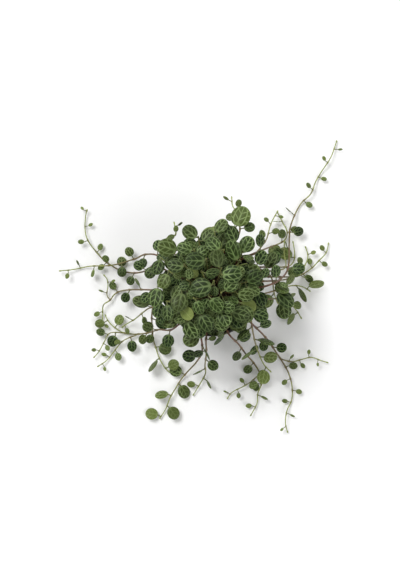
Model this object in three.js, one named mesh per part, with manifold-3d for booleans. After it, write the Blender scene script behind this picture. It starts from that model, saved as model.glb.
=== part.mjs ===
// Potted string of turtles (Peperomia prostrata) in a small plastic nursery pot.
// Millimetres, +Z up, origin at the middle of the pot's flat underside.
// Nodes: pot, soil, trailing vines and short crown shoots. A vine or a shoot grew as one piece,
// so its stem, side branches, petioles and leaves are one closed body.

import * as THREE from 'three';
import { mergeVertices } from 'three/addons/utils/BufferGeometryUtils.js';
import Module from 'manifold-3d';

const wasm = await Module();
wasm.setup();

// ---------------------------------------------------------------- driving dimensions

// pot
const POT_HEIGHT = 55;
const RIM_DIAMETER = 62;
const BASE_DIAMETER = 44;
const POT_WALL = 1.2;
const POT_FLOOR = 1.6;
const BAND_HEIGHT = 8; // upright band under the lip
const BAND_STEP = 1.4; // the band stands this far out from the tapered wall
const POT_SIDES = 40;
const DRAIN_DIAMETER = 5;
const DRAIN_CIRCLE = 28; // diameter of the circle that the drain holes lie on
const DRAIN_COUNT = 5;
const DRAIN_SIDES = 16;
const DRAIN_CUT = 4; // length of the cutter, per floor thickness
const FOOT_BEVEL = 0.8;
const LIP_ROUND = 1;

// potting mix
const SOIL_BELOW_LIP = 6;
const SOIL_DOME = 2.5;
const SOIL_RINGS = 4;
const CLEARANCE = 0.3; // between pieces that touch

// stems
const STEM_BASE = 0.75; // radius where a vine leaves the soil
const STEM_TIP = 0.36;
const STEM_STEP = 1; // spacing of the points that a stem is laid out with
const STEM_APART = 0.9; // free air between two stems
const JOINT_LENGTH = 1.3; // swollen joint that carries a leaf
const JOINT_SWELL = 1.25;
const LONG_INTERNODE = 8; // longer ones get a ring in the middle
const OVER_LIP = 1.6; // height of a stem's middle over the lip where it crosses
const LIE_HEIGHT = 1; // free air under a stem that lies on the ground, at its lowest
const LIE_WAVE = 2.6; // and how far it humps up between
const WAVE_LENGTH = 26;
const WAVE_SHIFT = 0.37; // each vine's humps start this share of a wave after the last one's
const LIFT_SPREAD = 14; // length over which a stem climbs to pass over another
const LIFT_TOP = 2; // half length of the level top of such a climb
const LIFT_ROUNDS = 14;
const LIFT_SLACK = 0.01;
const FREE_START = 3; // a stem doesn't climb along this first length
const BRANCH_FREE_START = 4;
const BRANCH_DROP = 16; // length over which a side branch comes down
const BRANCH_RADIUS = 0.85; // of its parent's there
const BRANCH_FOOT = 2; // point of a branch's own line where its first ring sits
const BRANCH_APART = 2.9; // no leaf grows this near to a branch
const FIRST_LEAF = 8; // length of bare stem before the first leaf
const BRANCH_FIRST_LEAF = 6;
const BRANCH_LEAF = 1.2; // a branch's first leaves are this much larger than its parent's last
const BRANCH_TIP_LEAF = 1.3;
const BRANCH_GAP = [7, 6];
const STEM_FACE = 0.8; // half width of a stem's square section, per stem radius

// leaves
const PETIOLE_RADIUS = 0.34;
const PETIOLE_LENGTH = 2.3; // on a trailing vine
const PETIOLE_SLIM = 0.3; // half width of a small leaf's petiole, per leaf radius
const PETIOLE_FLAT = 0.8; // height of a petiole per width
const CROWN_PETIOLE = [2.3, 4.8]; // shortest and longest in the crown
const LEAF_DOME = 0.17; // height of the upper face, per leaf radius
const LEAF_BELLY = 0.1; // depth of the lower face, per leaf radius
const LEAF_WIDTH = 0.95; // half width, per leaf radius
const LEAF_APART = 0.35; // free air between leaves
const GROUND_CLEARANCE = 0.4;
const SMALL_LEAF = 2.4; // leaves under this radius have fewer edge points
const SMALL_LEAF_EDGE = 4; // edge points of those
const LEAF_EDGE = 6; // and of the others
const ATTEMPTS = 70; // ways to sit that a leaf tries before it is left out
const FULL_SIZE_ATTEMPTS = 18; // of them at full size
const SMALLEST_SHARE = 0.4; // of full size
const LEAF_FOOT = 0.97; // the petiole joins the blade this far from its middle, per leaf radius
const LEAF_OPENING = 140; // the blade's edge runs this many degrees round from its tip to each side
const BLADE_HALF = 0.75; // mean half thickness, per height of the upper face
const RIM_HALF = 0.1; // half thickness at the edge
const JOINT_FREE = 3.2; // a petiole may be this near to its own stem
const NEAR_MARGIN = 4; // leaves and stems further off than this can't touch
const SWING = 12; // degrees that a leaf turns about its joint at first
const RAISE = [7, 37]; // degrees that a petiole rises
const RAISE_MORE = 18; // and more as it looks for room
const DROOP = [-16, 20];
const ROLL = [-22, 22];
const LOOSENESS = [1, 2]; // of droop and roll, from the first try to the last
const EDGE_ON = [55, 80]; // degrees that an edge-on leaf is rolled
const TRAILING_EDGE_ON = 0.24; // share of the leaves that are edge-on
const CROWN_EDGE_ON = 0.08;
const FLIPPED = 170; // degrees that a leaf showing its underside is rolled
const FLIPPED_SHARE = 0.03;
const SIZE_DRAW = [0.85, 1.12]; // chance differences in leaf size along a vine
const CROWN_SIZE_DRAW = [0.72, 1.15];
const GAP_DRAW = [0.85, 1.15]; // and in the length between its joints
const LOW_JOINT = 8; // under this height a leaf lies flatter
const LEAF_FORWARD = 0.45; // a trailing leaf points this far on along its stem, per unit sideways
const FACE_OUT = 0.35; // a raised leaf of a vine faces outward by this, per unit upward
const FLAT_PERK = 6; // degrees that a leaf near the ground holds its tip up
const TRAILING_SWING = 60; // degrees that a trailing leaf may turn about its joint at last
const LEAF_TAPER = 0.8; // how soon the leaves get smaller towards a vine's tip
const PETIOLE_SQUARE = 0.75; // share of the stem's direction that a petiole turns away from
const PETIOLE_SHARES = [0.2, 0.4, 0.6, 0.8, 0.98]; // where a petiole is tested for room
const BELLY_SHARE = 0.5; // the inner ring of test points on a leaf, per radius
const BELLY_THICK = 0.8; // and the blade's thickness there

// crown
const SHOOT_COUNT = 34;
const CROWN_REACH = 35; // how far the outer shoots lean out from the middle
const CROWN_HEIGHT = 32; // top of the middle shoots above the lip
const CROWN_EDGE = 8; // top of the outer shoots above the lip
const CROWN_LEAN = [-3, 7]; // the whole crown leans to the light by this much
const SHOOT_SEED_AREA = 0.54; // share of the soil's radius that the shoots come up in
const SHOOT_LEAF = [7, 6.2]; // leaf radius low and high on a shoot
const SHOOT_JOINTS = [0.32, 0.46, 0.59, 0.71, 0.81, 0.9, 0.98]; // shares of a shoot's length with a leaf
const GOLDEN_ANGLE = 137.508;
const LIGHT_CELL = 1.5; // crown leaves turn to where cells of this size are not yet shaded
const CROWN_FRINGE = 5; // and the crown ends this far beyond its outer shoots
const SHOOT_TRIES = 24; // goals that a shoot tries before it settles for the roomiest
const SHOOT_SWAY = [-16, 16]; // degrees that it turns aside
const SHOOT_REACH = [0.86, 1.12]; // share of its even reach
const SHOOT_RISE = [-3, 1]; // height above or below the dome
const SHOOT_BEND = [0.22, 0.8]; // how far out and how far up a shoot has its bend
const SHOOT_SLACK = 1.08; // length of a bent shoot, per straight length
const CROWN_UP = 1.4; // how much more a crown leaf faces up than outward
const CROWN_STEADY = 0.6; // share of the droop and roll that a crown leaf has
const CROWN_SWING = 200; // degrees that it may turn about its joint at last
const CROWN_LIFT = 36; // degrees that the top petioles rise more than the lowest
const FLANK_TURN = 2.4; // the lowest crown leaves face outward this much more than the top ones
const SEEDS = { shoot: [7001, 37], vine: [311, 53] }; // first seed and step of the random draws

// Trailing vines. start is [azimuth, share of the soil's radius]; route is a list of
// [azimuth, distance beyond the rim]; crest is the extra height at the lip and drop the length
// over which the vine comes down outside the pot; leaf and gap go from the first leaf to the tip.
const VINES = [
  {
    name: 'vine_lower_left_arc', start: [-168, 0.62], crest: 1, drop: 30, leaf: [6, 4.6], gap: [10, 9],
    route: [[-168, -3], [-169, 7], [-158, 13], [-147, 18], [-140, 22], [-132, 26], [-127, 29],
      [-119, 33], [-113, 34]],
  },
  {
    name: 'vine_left_middle', start: [-176, 0.78], crest: 2, drop: 29, leaf: [5.2, 1.6], gap: [9, 8],
    route: [[-178, 2], [-180, 11], [-180, 25], [-179, 33], [-177, 37], [-174, 40], [-172, 45],
      [-166, 47], [-161, 51], [-159, 54]],
    branches: [{ at: 0.66, route: [[-177, 42], [-182, 41], [-186, 42], [-188, 45]] }],
  },
  {
    name: 'vine_lower_left_short', start: [-151, 0.62], crest: 2, drop: 32, leaf: [5, 2], gap: [9, 7],
    route: [[-158, 2], [-164, 11], [-162, 18], [-159, 26], [-158, 33], [-157, 37]],
  },
  {
    name: 'vine_lower_left_forked', start: [-132, 0.78], crest: 1, drop: 27, leaf: [6, 3.4],
    gap: [9, 7.5],
    route: [[-134, 1], [-136, 8], [-143, 14], [-145, 20], [-148, 27], [-153, 36], [-157, 40],
      [-163, 44], [-167, 45]],
    branches: [
      { at: 0.72, route: [[-157, 46], [-154, 52], [-151, 59], [-150, 64]] },
      { at: 0.58, route: [[-150, 40], [-148, 48], [-146, 57], [-146, 65]] },
    ],
  },
  {
    name: 'vine_left_high', start: [161, 0.78], crest: 1, drop: 32, leaf: [5.6, 1.4], gap: [10, 10],
    route: [[157, 2], [156, 11], [163, 15], [166, 19], [168, 25], [168, 34], [166, 42], [165, 46],
      [162, 53], [158, 62], [154, 67], [149, 71], [147, 72]],
  },
  {
    name: 'vine_left_long', start: [147, 0.62], crest: 3, drop: 32, leaf: [6, 1.7], gap: [9, 9],
    route: [[147, 4], [148, 14], [153, 22], [157, 25], [160, 29], [164, 35], [167, 43], [169, 55],
      [171, 63], [172, 68], [173, 76]],
  },
  {
    name: 'vine_upper_left_short', start: [133, 0.78], crest: 2, drop: 70, leaf: [5.4, 1.6],
    gap: [9, 6],
    route: [[135, 1], [138, 9], [134, 15], [127, 14], [123, 13], [121, 17], [119, 22]],
  },
  {
    name: 'vine_top_level', start: [92, 0.62], crest: 5, drop: 90, leaf: [6.5, 8], gap: [12, 12],
    route: [[80, -6], [68, 4], [68, 11], [74, 13], [82, 12], [90, 11]],
  },
  {
    name: 'vine_top_tall', start: [76, 0.78], crest: 4, drop: 75, leaf: [7, 1.7], gap: [8, 6],
    route: [[66, 1], [64, 9], [65, 13], [69, 19], [72, 24], [76, 27], [78, 34]],
  },
  {
    name: 'vine_upper_right_inner', start: [64, 0.6], crest: 3, drop: 43, leaf: [5.6, 1.3],
    gap: [9, 6],
    route: [[50, -2], [40, 6], [41, 12], [43, 20], [48, 30], [50, 41]],
  },
  {
    name: 'vine_upper_right_short', start: [51, 0.78], crest: 1, drop: 32, leaf: [5.4, 2], gap: [12, 8],
    route: [[44, 1], [37, 16], [34, 30], [37, 35], [43, 37], [50, 40]],
  },
  {
    name: 'vine_right_brown', start: [45, 0.62], crest: 10, drop: 43, leaf: [6.4, 5], gap: [9, 8],
    route: [[33, -2], [18, 7], [10, 10], [-1, 11], [-9, 14], [-16, 20]],
  },
  {
    name: 'vine_upper_right_leaning', start: [35, 0.78], crest: 1, drop: 32, leaf: [5.6, 4.4],
    gap: [13, 9],
    route: [[28, 1], [20, 14], [17, 26], [21, 31], [31, 35]],
  },
  {
    name: 'vine_upper_right_straight', start: [26, 0.62], crest: 2, drop: 32, leaf: [5.6, 6],
    gap: [13, 12],
    route: [[23, 1], [17, 13], [17, 22], [26, 25], [34, 30]],
  },
  {
    name: 'vine_right_far_tip', start: [18, 0.78], crest: 1, drop: 32, leaf: [5.6, 1.7], gap: [10, 7],
    route: [[16, 1], [11, 15], [9, 30], [12, 40], [15, 46], [18, 53], [22, 57]],
  },
  {
    name: 'vine_right_fork_tip', start: [10, 0.62], crest: 3, drop: 32, leaf: [5.6, 1.7], gap: [10, 7],
    route: [[10, 1], [8, 15], [9, 27], [14, 35], [19, 40], [25, 41]],
  },
  {
    name: 'vine_upper_right_long', start: [1, 0.78], crest: 2, drop: 35, leaf: [5.6, 1.5],
    gap: [12, 11],
    route: [[3, 1], [7, 12], [13, 21], [21, 26], [31, 32], [38, 38], [42, 47], [44, 56], [44, 65],
      [46, 73], [47, 81], [48, 93], [50, 105]],
  },
  {
    name: 'vine_right_leafy', start: [-7, 0.62], crest: 2, drop: 36, leaf: [6, 6.2], gap: [9, 8],
    route: [[-5, 1], [0, 13], [3, 24], [2, 32], [-1, 38]],
  },
  {
    name: 'vine_right_low', start: [-15, 0.78], crest: 1, drop: 32, leaf: [6, 4.6], gap: [9, 8],
    route: [[-12, 1], [-8, 11], [-8, 21], [-13, 29], [-18, 35]],
  },
  {
    name: 'vine_lower_right_long', start: [-38, 0.78], crest: 1, drop: 30, leaf: [5.6, 1.3],
    gap: [9, 9],
    route: [[-40, 1], [-41, 14], [-42, 22], [-44, 31], [-45, 37], [-47, 47], [-50, 56], [-54, 64],
      [-58, 68], [-61, 75], [-62, 82]],
    branches: [{ at: 0.46, route: [[-42, 44], [-38, 48], [-34, 53], [-33, 59], [-32, 65]] }],
  },
  {
    name: 'vine_lower_right_curl', start: [-70, 0.78], crest: 1, drop: 29, leaf: [5.4, 2.2],
    gap: [8, 8],
    route: [[-69, 1], [-64, 9], [-62, 19], [-60, 28], [-60, 36], [-62, 43], [-66, 48], [-68, 54],
      [-73, 61]],
    branches: [{ at: 0.6, route: [[-68, 39], [-73, 40], [-79, 42], [-82, 46]] }],
  },
  {
    name: 'vine_bottom_short', start: [-95, 0.62], crest: 1, drop: 29, leaf: [5.6, 2.4], gap: [8, 7],
    route: [[-97, 2], [-95, 11], [-95, 22], [-94, 27], [-97, 35], [-100, 44]],
  },
  {
    name: 'vine_bottom_long', start: [-110, 0.78], crest: 2, drop: 29, leaf: [6, 4.2], gap: [9, 8],
    route: [[-103, 1], [-99, 11], [-102, 20], [-107, 30], [-109, 36], [-110, 42], [-111, 49],
      [-111, 58], [-112, 66]],
  },
  {
    name: 'vine_over_crown', start: [-20, 0.6], crest: 12, drop: 35, leaf: [6, 5], gap: [8, 8],
    route: [[-18, -8], [-33, -1], [-44, 6], [-51, 16], [-54, 26], [-55, 33], [-54, 40]],
  },
];

// ---------------------------------------------------------------- numbers and vectors

const degrees = angle => angle * Math.PI / 180;
const mix = (a, b, share) => a + (b - a) * share;
const clamp01 = x => Math.min(Math.max(x, 0), 1);
const smooth = x => clamp01(x) ** 2 * (3 - 2 * clamp01(x));
const add = (a, b) => [a[0] + b[0], a[1] + b[1], a[2] + b[2]];
const sub = (a, b) => [a[0] - b[0], a[1] - b[1], a[2] - b[2]];
const times = (a, k) => [a[0] * k, a[1] * k, a[2] * k];
const dot = (a, b) => a[0] * b[0] + a[1] * b[1] + a[2] * b[2];
const cross = (a, b) => [
  a[1] * b[2] - a[2] * b[1],
  a[2] * b[0] - a[0] * b[2],
  a[0] * b[1] - a[1] * b[0],
];
const size = a => Math.sqrt(dot(a, a));
const unit = a => times(a, 1 / size(a));
const UP = [0, 0, 1];

// a turned about the unit axis by an angle in degrees
function turned(a, axis, angle) {
  const c = Math.cos(degrees(angle));
  const s = Math.sin(degrees(angle));
  const along = times(axis, dot(a, axis) * (1 - c));
  return add(add(times(a, c), times(cross(axis, a), s)), along);
}

// a repeatable sequence of draws, the same on every machine
function drawsFrom(seed) {
  let state = seed;
  return (low, high) => {
    state = (state * 48271) % 2147483647;
    return mix(low, high, state / 2147483647);
  };
}

// ---------------------------------------------------------------- pot and potting mix

const rimRadius = RIM_DIAMETER / 2;
const baseRadius = BASE_DIAMETER / 2;
const bandFoot = POT_HEIGHT - BAND_HEIGHT;
const taper = (rimRadius - BAND_STEP - baseRadius) / bandFoot;
const outerRadius = z => baseRadius + taper * Math.min(z, bandFoot);
const innerRadius = z => outerRadius(z) - POT_WALL;
const soilRadius = innerRadius(POT_HEIGHT - SOIL_BELOW_LIP) - CLEARANCE;
const soilTop = r => POT_HEIGHT - SOIL_BELOW_LIP + SOIL_DOME * (1 - (r / soilRadius) ** 2);

function latheOf(profile, sides) {
  const points = profile.map(([r, z]) => new THREE.Vector2(r, z));
  return new THREE.LatheGeometry(points, sides).rotateX(Math.PI / 2);
}

function bare(geometry) {
  const shape = geometry.clone();
  shape.deleteAttribute('normal');
  shape.deleteAttribute('uv');
  return mergeVertices(shape, 1e-4);
}

function solidOf(geometry) {
  const shape = bare(geometry);
  return new wasm.Manifold(new wasm.Mesh({
    numProp: 3,
    vertProperties: new Float32Array(shape.attributes.position.array),
    triVerts: new Uint32Array(shape.index.array),
  }));
}

function geometryOf(solid) {
  const mesh = solid.getMesh();
  const geometry = new THREE.BufferGeometry();
  geometry.setAttribute('position', new THREE.BufferAttribute(mesh.vertProperties, 3));
  geometry.setIndex(new THREE.BufferAttribute(mesh.triVerts, 1));
  geometry.computeVertexNormals();
  return geometry;
}

function potGeometry() {
  const bevel = FOOT_BEVEL;
  const lip = LIP_ROUND;
  const profile = [
    [0, 0],
    [baseRadius - bevel, 0],
    [outerRadius(bevel), bevel],
    [outerRadius(bandFoot), bandFoot],
    [rimRadius - bevel / 2, bandFoot + bevel / 2],
    [rimRadius, bandFoot + bevel * 1.5],
    [rimRadius, POT_HEIGHT - lip],
    [rimRadius - lip / 3, POT_HEIGHT - lip / 3],
    [rimRadius - lip, POT_HEIGHT],
    [innerRadius(POT_HEIGHT) + lip / 2, POT_HEIGHT],
    [innerRadius(POT_HEIGHT), POT_HEIGHT - lip / 2],
    [innerRadius(bandFoot), bandFoot],
    [innerRadius(POT_FLOOR), POT_FLOOR],
    [0, POT_FLOOR],
  ];
  let pot = solidOf(latheOf(profile, POT_SIDES));
  for (let i = 0; i < DRAIN_COUNT; i += 1) {
    const angle = 2 * Math.PI * i / DRAIN_COUNT;
    const r = DRAIN_DIAMETER / 2;
    const hole = new THREE.CylinderGeometry(r, r, POT_FLOOR * DRAIN_CUT, DRAIN_SIDES);
    hole.rotateX(Math.PI / 2);
    hole.translate(Math.cos(angle) * DRAIN_CIRCLE / 2, Math.sin(angle) * DRAIN_CIRCLE / 2, 0);
    pot = pot.subtract(solidOf(hole));
  }
  return geometryOf(pot);
}

function soilGeometry() {
  const bottom = POT_FLOOR + CLEARANCE;
  const top = POT_HEIGHT - SOIL_BELOW_LIP;
  const profile = [
    [0, bottom],
    [innerRadius(bottom) - CLEARANCE, bottom],
    [innerRadius(bandFoot) - CLEARANCE, bandFoot],
    [soilRadius, top],
  ];
  for (let i = 1; i <= SOIL_RINGS; i += 1) {
    const r = soilRadius * (1 - i / SOIL_RINGS);
    profile.push([r, soilTop(r)]);
  }
  return latheOf(profile, POT_SIDES);
}

// ---------------------------------------------------------------- stem routes

// points on a smooth curve through plan knots, about one step apart; t is the length so far
function planCurve(knots) {
  const t = [0];
  for (let i = 1; i < knots.length; i += 1) {
    t.push(t[i - 1] + Math.hypot(knots[i][0] - knots[i - 1][0], knots[i][1] - knots[i - 1][1]));
  }
  const slopeAt = i => {
    const a = Math.max(i - 1, 0);
    const b = Math.min(i + 1, knots.length - 1);
    return [0, 1].map(k => (knots[b][k] - knots[a][k]) / (t[b] - t[a]));
  };
  const points = [{ x: knots[0][0], y: knots[0][1], t: 0 }];
  for (let i = 1; i < knots.length; i += 1) {
    const span = t[i] - t[i - 1];
    const steps = Math.max(Math.round(span / STEM_STEP), 1);
    const m0 = slopeAt(i - 1);
    const m1 = slopeAt(i);
    for (let j = 1; j <= steps; j += 1) {
      const u = j / steps;
      const at = k => (2 * u ** 3 - 3 * u ** 2 + 1) * knots[i - 1][k]
        + (u ** 3 - 2 * u ** 2 + u) * span * m0[k]
        + (3 * u ** 2 - 2 * u ** 3) * knots[i][k]
        + (u ** 3 - u ** 2) * span * m1[k];
      points.push({ x: at(0), y: at(1), t: t[i - 1] + span * u });
    }
  }
  return points;
}

const planPoint = (azimuth, radius) => [
  radius * Math.cos(degrees(azimuth)),
  radius * Math.sin(degrees(azimuth)),
];

function stemFrom(points, baseRadiusOfStem) {
  const length = points[points.length - 1].t;
  return points.map(({ x, y, z, t }) => ({
    p: [x, y, z],
    t,
    r: mix(baseRadiusOfStem, STEM_TIP, t / length),
  }));
}

const lieHeight = (t, phase) => GROUND_CLEARANCE + LIE_HEIGHT
  + LIE_WAVE * (0.5 - 0.5 * Math.cos(2 * Math.PI * (t / WAVE_LENGTH + phase)));

// stems already laid; a new one climbs over them
const laid = [];

function climbOver(stem, freeStart) {
  for (let round = 0; round < LIFT_ROUNDS; round += 1) {
    const needs = [];
    for (const a of stem) {
      if (a.t < freeStart) continue;
      let need = 0;
      for (const b of laid) {
        const apart = a.r * JOINT_SWELL + b.r * JOINT_SWELL + STEM_APART;
        const dx = a.p[0] - b.p[0];
        const dy = a.p[1] - b.p[1];
        const rest = apart ** 2 - dx ** 2 - dy ** 2;
        if (rest <= 0) continue;
        const reach = Math.sqrt(rest);
        if (Math.abs(a.p[2] - b.p[2]) < reach) need = Math.max(need, b.p[2] + reach - a.p[2]);
      }
      if (need > 0) needs.push([a.t, need + LIFT_SLACK]);
    }
    if (needs.length === 0) return;
    for (const a of stem) {
      let lift = 0;
      for (const [t, need] of needs) {
        const away = Math.max(Math.abs(a.t - t) - LIFT_TOP, 0) / LIFT_SPREAD;
        if (away < 1) lift = Math.max(lift, need * Math.cos(away * Math.PI / 2) ** 2);
      }
      a.p[2] += lift * smooth(a.t / (freeStart * 2));
    }
  }
}

function trailingStem(vine, index) {
  const [azimuth, share] = vine.start;
  const knots = [planPoint(azimuth, share * soilRadius)];
  for (const [angle, reach] of vine.route) knots.push(planPoint(angle, rimRadius + reach));
  const points = planCurve(knots);
  const reaches = radius => points.find(({ x, y }) => Math.hypot(x, y) > radius).t;
  const risen = reaches(innerRadius(POT_HEIGHT) - STEM_BASE * 2);
  const across = reaches(rimRadius + STEM_BASE);
  const soilHeight = soilTop(share * soilRadius) + CLEARANCE;
  const crestHeight = POT_HEIGHT + OVER_LIP + vine.crest;
  for (const point of points) {
    const inside = Math.sin(clamp01(point.t / risen) * Math.PI / 2);
    const outside = smooth((point.t - across) / vine.drop);
    const lie = lieHeight(point.t, index * WAVE_SHIFT);
    point.z = mix(mix(soilHeight, crestHeight, inside), lie, outside);
  }
  const stem = stemFrom(points, STEM_BASE);
  climbOver(stem, FREE_START);
  return stem;
}

function branchStem(branch, parent, index) {
  const joint = pointAlong(parent, branch.at * parent[parent.length - 1].t);
  const knots = [[joint.p[0], joint.p[1]]];
  for (const [angle, reach] of branch.route) knots.push(planPoint(angle, rimRadius + reach));
  const points = planCurve(knots);
  for (const point of points) {
    const lie = lieHeight(point.t, index * WAVE_SHIFT + 0.5);
    point.z = mix(joint.p[2], lie, smooth(point.t / BRANCH_DROP));
  }
  const stem = stemFrom(points, joint.r * BRANCH_RADIUS);
  climbOver(stem, BRANCH_FREE_START);
  return stem;
}

function crownStem(index, draw) {
  const spread = Math.sqrt((index + 0.5) / SHOOT_COUNT);
  const golden = GOLDEN_ANGLE * index;
  const [startX, startY] = planPoint(golden, spread * SHOOT_SEED_AREA * soilRadius);
  const start = [startX, startY, soilTop(Math.hypot(startX, startY)) + CLEARANCE];
  let best = null;
  for (let attempt = 0; attempt < SHOOT_TRIES; attempt += 1) {
    const azimuth = golden + draw(...SHOOT_SWAY);
    const share = Math.min(spread * draw(...SHOOT_REACH), 1);
    const out = planPoint(azimuth, share * CROWN_REACH);
    const dome = mix(CROWN_EDGE, CROWN_HEIGHT, Math.sqrt(1 - share ** 2)) + draw(...SHOOT_RISE);
    const goal = [out[0] + CROWN_LEAN[0], out[1] + CROWN_LEAN[1], POT_HEIGHT + dome];
    const [bendOut, bendUp] = SHOOT_BEND;
    const bend = [
      mix(start[0], goal[0], bendOut), mix(start[1], goal[1], bendOut), mix(start[2], goal[2], bendUp),
    ];
    const stem = bentStem(start, bend, goal);
    const room = roomAround(stem);
    if (best === null || room > best.room) best = { stem, room };
    if (room > 0) break;
  }
  return best.stem;
}

// a stem along one bend, laid out in even steps
function bentStem(start, bend, goal) {
  const steps = Math.round(size(sub(goal, start)) * SHOOT_SLACK / STEM_STEP);
  const points = [];
  let t = 0;
  for (let i = 0; i <= steps; i += 1) {
    const u = i / steps;
    const p = add(add(times(start, (1 - u) ** 2), times(bend, 2 * u * (1 - u))), times(goal, u ** 2));
    if (i > 0) t += size(sub(p, [points[i - 1].x, points[i - 1].y, points[i - 1].z]));
    points.push({ x: p[0], y: p[1], z: p[2], t });
  }
  return stemFrom(points, STEM_BASE);
}

function roomAround(stem) {
  let room = Infinity;
  for (const a of stem) {
    for (const b of laid) {
      const apart = (a.r + b.r) * JOINT_SWELL + STEM_APART;
      room = Math.min(room, size(sub(a.p, b.p)) - apart);
    }
  }
  return room;
}

// place, direction and radius at a length along a stem
function pointAlong(stem, t) {
  let i = 1;
  while (i < stem.length - 1 && stem[i].t < t) i += 1;
  const a = stem[i - 1];
  const b = stem[i];
  const share = clamp01((t - a.t) / (b.t - a.t));
  const p = add(times(a.p, 1 - share), times(b.p, share));
  return { p, r: mix(a.r, b.r, share), t, along: unit(sub(b.p, a.p)) };
}

// ---------------------------------------------------------------- leaves in free air

const EDGE_SAMPLES = 24;
const placedLeaves = [];
const twigs = []; // points of stems and petioles: p, r, owner, t

// distance from a point to a leaf's flat disc
function offDisc(p, leaf) {
  const v = sub(p, leaf.centre);
  const height = dot(v, leaf.normal);
  const flat = Math.sqrt(Math.max(dot(v, v) - height ** 2, 0));
  return flat <= leaf.radius ? Math.abs(height) : Math.hypot(height, flat - leaf.radius);
}

const longestStalk = Math.max(PETIOLE_LENGTH, ...CROWN_PETIOLE);
const leafHalf = leaf => leaf.radius * LEAF_DOME * BLADE_HALF;

function samplesOf(leaf) {
  const points = [{ p: leaf.centre, r: leafHalf(leaf) }];
  const ring = (share, count, r) => {
    for (let i = 0; i < count; i += 1) {
      const angle = 2 * Math.PI * i / count;
      const along = times(leaf.axis, Math.cos(angle) * leaf.radius * share);
      const across = times(leaf.side, Math.sin(angle) * leaf.radius * share);
      points.push({ p: add(leaf.centre, add(along, across)), r });
    }
  };
  ring(BELLY_SHARE, EDGE_SAMPLES / 3, leafHalf(leaf) * BELLY_THICK);
  ring(1, EDGE_SAMPLES, RIM_HALF);
  return points;
}

// a point is clear of the ground, of the pot and of the potting mix
function clearOfPot(p, r) {
  if (p[2] - r < GROUND_CLEARANCE) return false;
  const radius = Math.hypot(p[0], p[1]);
  const room = r + CLEARANCE;
  if (p[2] - room > POT_HEIGHT) return true;
  if (radius - room > (p[2] + room > bandFoot ? rimRadius : outerRadius(p[2] + room))) return true;
  return radius + room < innerRadius(p[2] - room) && p[2] - room > soilTop(radius);
}

function leafIsClear(leaf) {
  if (!leaf.samples.every(({ p, r }) => clearOfPot(p, r))) return false;
  if (!leaf.petiole.every(p => clearOfPot(p, PETIOLE_RADIUS))) return false;
  const half = leafHalf(leaf) + LEAF_APART;
  for (const other of placedLeaves) {
    const reach = other.radius + leaf.radius + longestStalk + NEAR_MARGIN;
    if (size(sub(other.centre, leaf.centre)) > reach) continue;
    const otherHalf = leafHalf(other) + LEAF_APART;
    if (leaf.samples.some(({ p, r }) => offDisc(p, other) < r + otherHalf)) return false;
    if (other.samples.some(({ p, r }) => offDisc(p, leaf) < r + half)) return false;
    if (leaf.petiole.some(p => offDisc(p, other) < PETIOLE_RADIUS + otherHalf)) return false;
  }
  for (const twig of twigs) {
    const away = size(sub(twig.p, leaf.centre));
    if (away > leaf.radius + longestStalk + NEAR_MARGIN) continue;
    if (offDisc(twig.p, leaf) < twig.r + half) return false;
    if (twig.owner === leaf.owner && Math.abs(twig.t - leaf.t) < JOINT_FREE) continue;
    const tight = twig.r + PETIOLE_RADIUS + LEAF_APART;
    if (leaf.petiole.some(p => size(sub(p, twig.p)) < tight)) return false;
  }
  return true;
}

// one way for a leaf to sit at a joint: heading is level, raise and droop in degrees
function leafAt(site, heading, raise, droop, roll, radius, stalk) {
  const { joint, facing, owner } = site;
  const lift = Math.sin(degrees(raise));
  const leaning = add(times(heading, Math.cos(degrees(raise))), times(UP, lift));
  const away = sub(leaning, times(joint.along, dot(leaning, joint.along) * PETIOLE_SQUARE));
  const out = unit(away);
  const axis = unit(add(times(heading, Math.cos(degrees(droop))), times(UP, -Math.sin(degrees(droop)))));
  const upright = unit(sub(facing, times(axis, dot(facing, axis))));
  const normal = turned(upright, axis, roll);
  const foot = add(joint.p, times(out, joint.r + stalk));
  const centre = add(foot, times(axis, radius * LEAF_FOOT));
  const petiole = PETIOLE_SHARES.map(share => (
    add(joint.p, times(out, joint.r + stalk * share))));
  const side = cross(normal, axis);
  const leaf = { centre, axis, side, normal, radius, out, petiole, owner, t: joint.t };
  leaf.samples = samplesOf(leaf);
  return leaf;
}

// level cells over the crown that a leaf already shades
const shaded = new Set();
const CELL_ROW = 1000; // more cells than the crown has across, so that each has its own key

function cellsUnder(leaf) {
  const cells = [];
  const [nx, ny, nz] = leaf.normal;
  const reach = Math.ceil(leaf.radius / LIGHT_CELL);
  const middleX = Math.round(leaf.centre[0] / LIGHT_CELL);
  const middleY = Math.round(leaf.centre[1] / LIGHT_CELL);
  for (let i = middleX - reach; i <= middleX + reach; i += 1) {
    for (let j = middleY - reach; j <= middleY + reach; j += 1) {
      const dx = i * LIGHT_CELL - leaf.centre[0];
      const dy = j * LIGHT_CELL - leaf.centre[1];
      const dz = -(dx * nx + dy * ny) / nz;
      const fromLean = Math.hypot(i * LIGHT_CELL - CROWN_LEAN[0], j * LIGHT_CELL - CROWN_LEAN[1]);
      const covers = dx * dx + dy * dy + dz * dz < leaf.radius ** 2;
      if (covers && fromLean < CROWN_REACH + CROWN_FRINGE) cells.push(i * CELL_ROW + j);
    }
  }
  return cells;
}

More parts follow.
